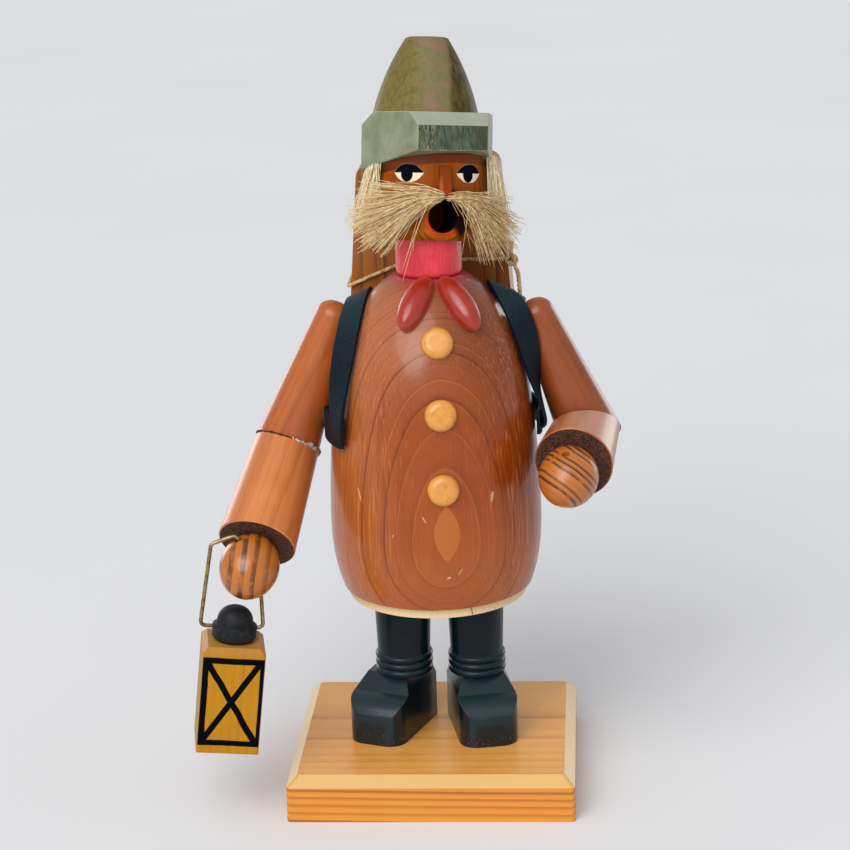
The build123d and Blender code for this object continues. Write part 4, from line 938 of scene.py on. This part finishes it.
def moustache(side, count, reach, high, low, droop):
    """Strands fanned from the upper lip: the lower they point, the further out they start."""
    paths = []
    for _ in range(count):
        drop = draw.random()
        stray = draw.gauss(0, stray_spread) if draw.random() < stray_share else 0.0
        slant = high + (low - high) * drop + draw.gauss(0, fan_spread) + stray
        fan = math.radians(min(high + fan_spread, slant))
        back = math.radians(draw.uniform(0, 22))
        root_out = -0.6 + lip_width * drop + draw.uniform(0, 3.0)
        root_high = lip_height - lip_drop * drop + draw.gauss(0, 0.7)
        start = Vector((side * root_out, head_radius + draw.uniform(0.4, 4.0), root_high))
        fullness = 0.76 + 0.3 * math.sin(math.pi * min(1.0, 0.1 + 1.05 * drop))
        length = reach * draw.uniform(0.74, 1.04) * fullness
        sag = droop * draw.uniform(0.3, 1.2)
        kink = draw.gauss(0, 1.1)
        radius = draw.uniform(*strand_radii)
        path = []
        for step in range(8):
            share = step / 7
            right = start.x + side * length * share * math.cos(fan) * math.cos(back)
            ahead = start.y - length * share * math.sin(back) + kink * math.sin(3.1 * share)
            bend = kink * 0.6 * math.sin(5.0 * share) - sag * share**2
            height = start.z + length * share * math.sin(fan) + bend
            path.append((on_face(right, ahead, height), radius * (1.0 - 0.45 * share)))
        paths.append(path)
    return paths


def round_head(angle, out):
    return head_foot + hat_right * (out * math.sin(angle)) - hat_back * (out * math.cos(angle))


def hair(turn, count, span):
    """Strands that hang from the brim's underside, spread about one side of the head."""
    paths = []
    for _ in range(count):
        swing = math.radians(turn + span * (draw.random() - 0.5))
        out = head_radius + draw.uniform(*hair_depths)
        splay = math.radians(draw.uniform(2, 15) + abs(draw.gauss(0, 2)))
        twist = draw.gauss(0, 0.05)
        length = draw.uniform(*hair_lengths)
        rise = (brim_seat_spot - round_head(swing, out)).dot(brim_seat_up) / head_up.dot(brim_seat_up)
        radius = draw.uniform(*strand_radii)
        path = []
        for step in range(6):
            share = step / 5
            angle = swing + twist * share * 3
            wide = out + length * share * math.sin(splay)
            height = rise - 0.1 - length * share * math.cos(splay)
            path.append((round_head(angle, wide) + head_up * height, radius * (1.0 - 0.4 * share)))
        paths.append(path)
    return paths


left_fan = moustache(side=-1, count=480, reach=31.0, high=11.0, low=-46.0, droop=3.0)
right_fan = moustache(side=1, count=430, reach=26.0, high=8.0, low=-56.0, droop=7.0)
for name, look, paths in (
    ("left_moustache", straw, left_fan),
    ("right_moustache", dark_straw, right_fan),
    ("left_hair", hair_straw, hair(turn=-80, count=210, span=52)),
    ("right_hair", hair_straw, hair(turn=96, count=210, span=52)),
):
    vertices, faces = tubes(paths)
    bundle = piece(name + "_fibres", vertices, faces, look, "figure")
    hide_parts(name)


# Twine: three twisted strands on the lashing's route, a knot and a frayed tail
def route(corners, bend, gap):
    """Evenly spaced places along straight runs with rounded corners."""
    spots = [corners[0]]
    for before, corner, after in zip(corners, corners[1:], corners[2:]):
        into = (corner - before).normalized()
        away = (after - corner).normalized()
        for step in range(7):
            share = step / 6
            spots.append(corner - into * bend * (1 - share) ** 2 + away * bend * share**2)
    spots.append(corners[-1])
    even = [spots[0]]
    for spot in spots[1:]:
        run = spot - even[-1]
        while run.length >= gap:
            even.append(even[-1] + run.normalized() * gap)
            run = spot - even[-1]
    return even


def twisted(spots, strands, offset, radius, lay):
    """Strands laid round a route; lay is the length of one turn."""
    paths = []
    for strand in range(strands):
        path = []
        travelled = 0.0
        for index, (spot, side, other) in enumerate(carried(spots)):
            swing = 2 * math.pi * (travelled / lay + strand / strands)
            out = side * math.cos(swing) + other * math.sin(swing)
            path.append((spot + out * offset, radius))
            if index + 1 < len(spots):
                travelled += (spots[index + 1] - spot).length
        paths.append(path)
    return paths


twine_left, twine_right = -34.03, 29.66
twine_front, twine_back = 31.85, 62.15
twine_low, twine_high = 190.5, 200.5
twine_fall = -10.0
knot = Vector((twine_right + 0.5, twine_front - 1.5, twine_high))
lash = [
    Vector((twine_right, twine_front, twine_high)),
    Vector((twine_fall, twine_front, twine_high)),
    Vector((twine_left, twine_front, twine_low)),
    Vector((twine_left, twine_back, twine_low)),
    Vector((twine_right, twine_back, twine_high)),
    Vector((twine_right, twine_front + 1.0, twine_high)),
]
lash_curve, tail_curve = 1.6, 1.5
twine_gap = 0.5
knot_radius = 1.9
fray_radius = 0.12
fray_count = 26
tight = {"strands": 3, "offset": 0.4, "radius": 0.42, "lay": 4.4}
loose = {"strands": 3, "offset": 0.45, "radius": 0.48, "lay": 5.0}
strands = twisted(route(lash, lash_curve, twine_gap), **tight)
tail_bend = knot + Vector((2.6, -1.6, -5.0))
tail_tip = knot + Vector((3.2, -2.2, -15.0))
strands += twisted(route([knot, tail_bend, tail_tip], tail_curve, twine_gap), **loose)
for tilt in ((1, 0.2, 0.1), (0.2, 1, 0.3), (0.4, -0.3, 1)):
    axle = Vector(tilt).normalized()
    side = axle.orthogonal().normalized()
    other = axle.cross(side)
    loop = []
    for step in range(-9, 10):
        out = side * math.cos(step * 0.35) + other * math.sin(step * 0.35)
        loop.append(knot + out * knot_radius + axle * 0.1 * step)
    strands += twisted(loop, **loose)
for _ in range(fray_count):
    fray = Vector((draw.gauss(0, 1.1), draw.gauss(0, 1.1), -draw.uniform(1.5, 5.0)))
    strands.append([(tail_tip + fray * share, fray_radius) for share in (-0.2, 0.3, 0.7, 1.0)])
vertices, faces = tubes(strands, 5)
twine = piece("pack_twine_rope", vertices, faces, dark_straw, "figure")
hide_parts("pack_twine")


# Broken elbow of the lantern arm: an open dark crack outside and torn glue on the coat side
def glue_look():
    look = Look("torn_glue")
    lumps = look.noise(look.place, 0.9, 4.0, 0.7)
    look.bump(lumps, 0.3)
    return look.done(look.mix(look.step(lumps, 0.35, 0.65), rgb(150, 136, 120), rgb(222, 214, 200)), 0.7)


def crack_look():
    look = Look("crack_dark")
    return look.done(look.mix(look.noise(look.place, 0.8, 3.0), rgb(26, 16, 10), rgb(58, 34, 20)), 0.8)


mitre_way = (lantern_upper + lantern_fore).normalized()
elbow_right = (Vector((0, -1, 0)) - lantern_upper * -lantern_upper.y).normalized()
elbow_side = lantern_upper.cross(elbow_right)
mend_thick = 0.75


def on_elbow(angle, radius):
    """A place round the mitre of the lantern elbow."""
    out = elbow_right * math.cos(angle) + elbow_side * math.sin(angle)
    slide = radius * out.dot(mitre_way) / lantern_upper.dot(mitre_way)
    return lantern_elbow + out * radius - lantern_upper * slide


def elbow_path(start, end, steps, radius, rough):
    """A ragged line round the elbow from one angle to another, thin at its ends."""
    path = []
    for step in range(steps + 1):
        angle = math.radians(start + (end - start) * step / steps)
        ends = min(1.0, 4 * step / steps, 4 * (steps - step) / steps)
        spot = on_elbow(angle, radius + draw.gauss(0, rough * 0.4)) + mitre_way * draw.gauss(0, rough)
        path.append((spot, max(0.05, mend_thick * ends * draw.uniform(0.7, 1.2))))
    return path


crack_paths = [elbow_path(start=140, end=-30, steps=46, radius=12.25, rough=0.12)]
glue_paths = [elbow_path(start=10, end=-150, steps=60, radius=12.4, rough=0.35)]
glue_paths.append(elbow_path(start=-15, end=-130, steps=46, radius=12.55, rough=0.45))
for name, paths, look in (
    ("elbow_crack", crack_paths, crack_look()),
    ("elbow_glue", glue_paths, glue_look()),
):
    vertices, faces = tubes(paths, 6)
    mend = piece(name, vertices, faces, look, "figure")

# Floor, in metres as are the lights and the camera
floor_mesh = bpy.data.meshes.new("floor")
floor_half = 30.0
floor_corners = [(x * floor_half, y * floor_half, 0) for x, y in ((-1, -1), (1, -1), (1, 1), (-1, 1))]
floor_mesh.from_pydata(floor_corners, [], [(0, 1, 2, 3)])
floor = add("floor", floor_mesh)
floor_look = Look("floor_pale")
floor_tone = floor_look.noise(floor_look.place, 0.004, 2.0)
floor_colour = floor_look.mix(floor_tone, rgb(222, 222, 224), rgb(228, 228, 228))
floor_mesh.materials.append(floor_look.done(floor_colour, 0.9, Specular_IOR_Level=0.0))

# Sky and lamps
sky_colour = (0.95, 0.97, 1.0, 1.0)
sky_strength = 0.58
world = bpy.data.worlds.new("studio")
scene.world = world
world.use_nodes = True
sky = world.node_tree.nodes["Background"]
sky.inputs["Color"].default_value = sky_colour
sky.inputs["Strength"].default_value = sky_strength


def lamp(name, kind, place, target, power, size, rim_only=False):
    """A sun or a soft box. One that is rim_only shows in reflections and does not light matt surfaces."""
    light = bpy.data.lights.new(name, kind)
    light.energy = power
    if kind == "SUN":
        light.angle = size
    else:
        light.shape = "RECTANGLE"
        light.size, light.size_y = size
    holder = add(name, light)
    holder.visible_diffuse = not rim_only
    holder.location = place
    holder.rotation_euler = (Vector(target) - Vector(place)).to_track_quat("-Z", "Y").to_euler()


aim = (0, 0, 0.15)
low_aim = (0, 0, 0.1)
lamp("key", "SUN", (-0.6, -1.5, 1.6), aim, power=1.85, size=0.9)
lamp("front_box", "AREA", (-0.35, -1.0, 0.75), aim, power=2.2, size=(0.5, 0.7))
for name, side in (("left_box", -0.66), ("right_box", 0.66)):
    lamp(name, "AREA", (side, 0.85, 0.2), low_aim, power=1.4, size=(0.4, 0.4), rim_only=True)

# Camera, fitted to the photo
camera_place = (0.062234, -0.92112, 0.416388)
eye = bpy.data.cameras.new("photo_camera")
eye.sensor_width = 36.0
eye.lens = 106.34
eye.clip_end = 40.0
camera = add("photo_camera", eye)
camera_right = Vector((0.99762, 0.06208, -0.03004))
camera_up = Vector((0.0111, 0.28535, 0.95836))
camera_back = Vector((0.06807, -0.95641, 0.28398))
turn = Matrix((camera_right, camera_up, camera_back)).transposed().to_4x4()
camera.matrix_world = Matrix.Translation(camera_place) @ turn
scene.camera = camera
scene.view_settings.view_transform = "Standard"
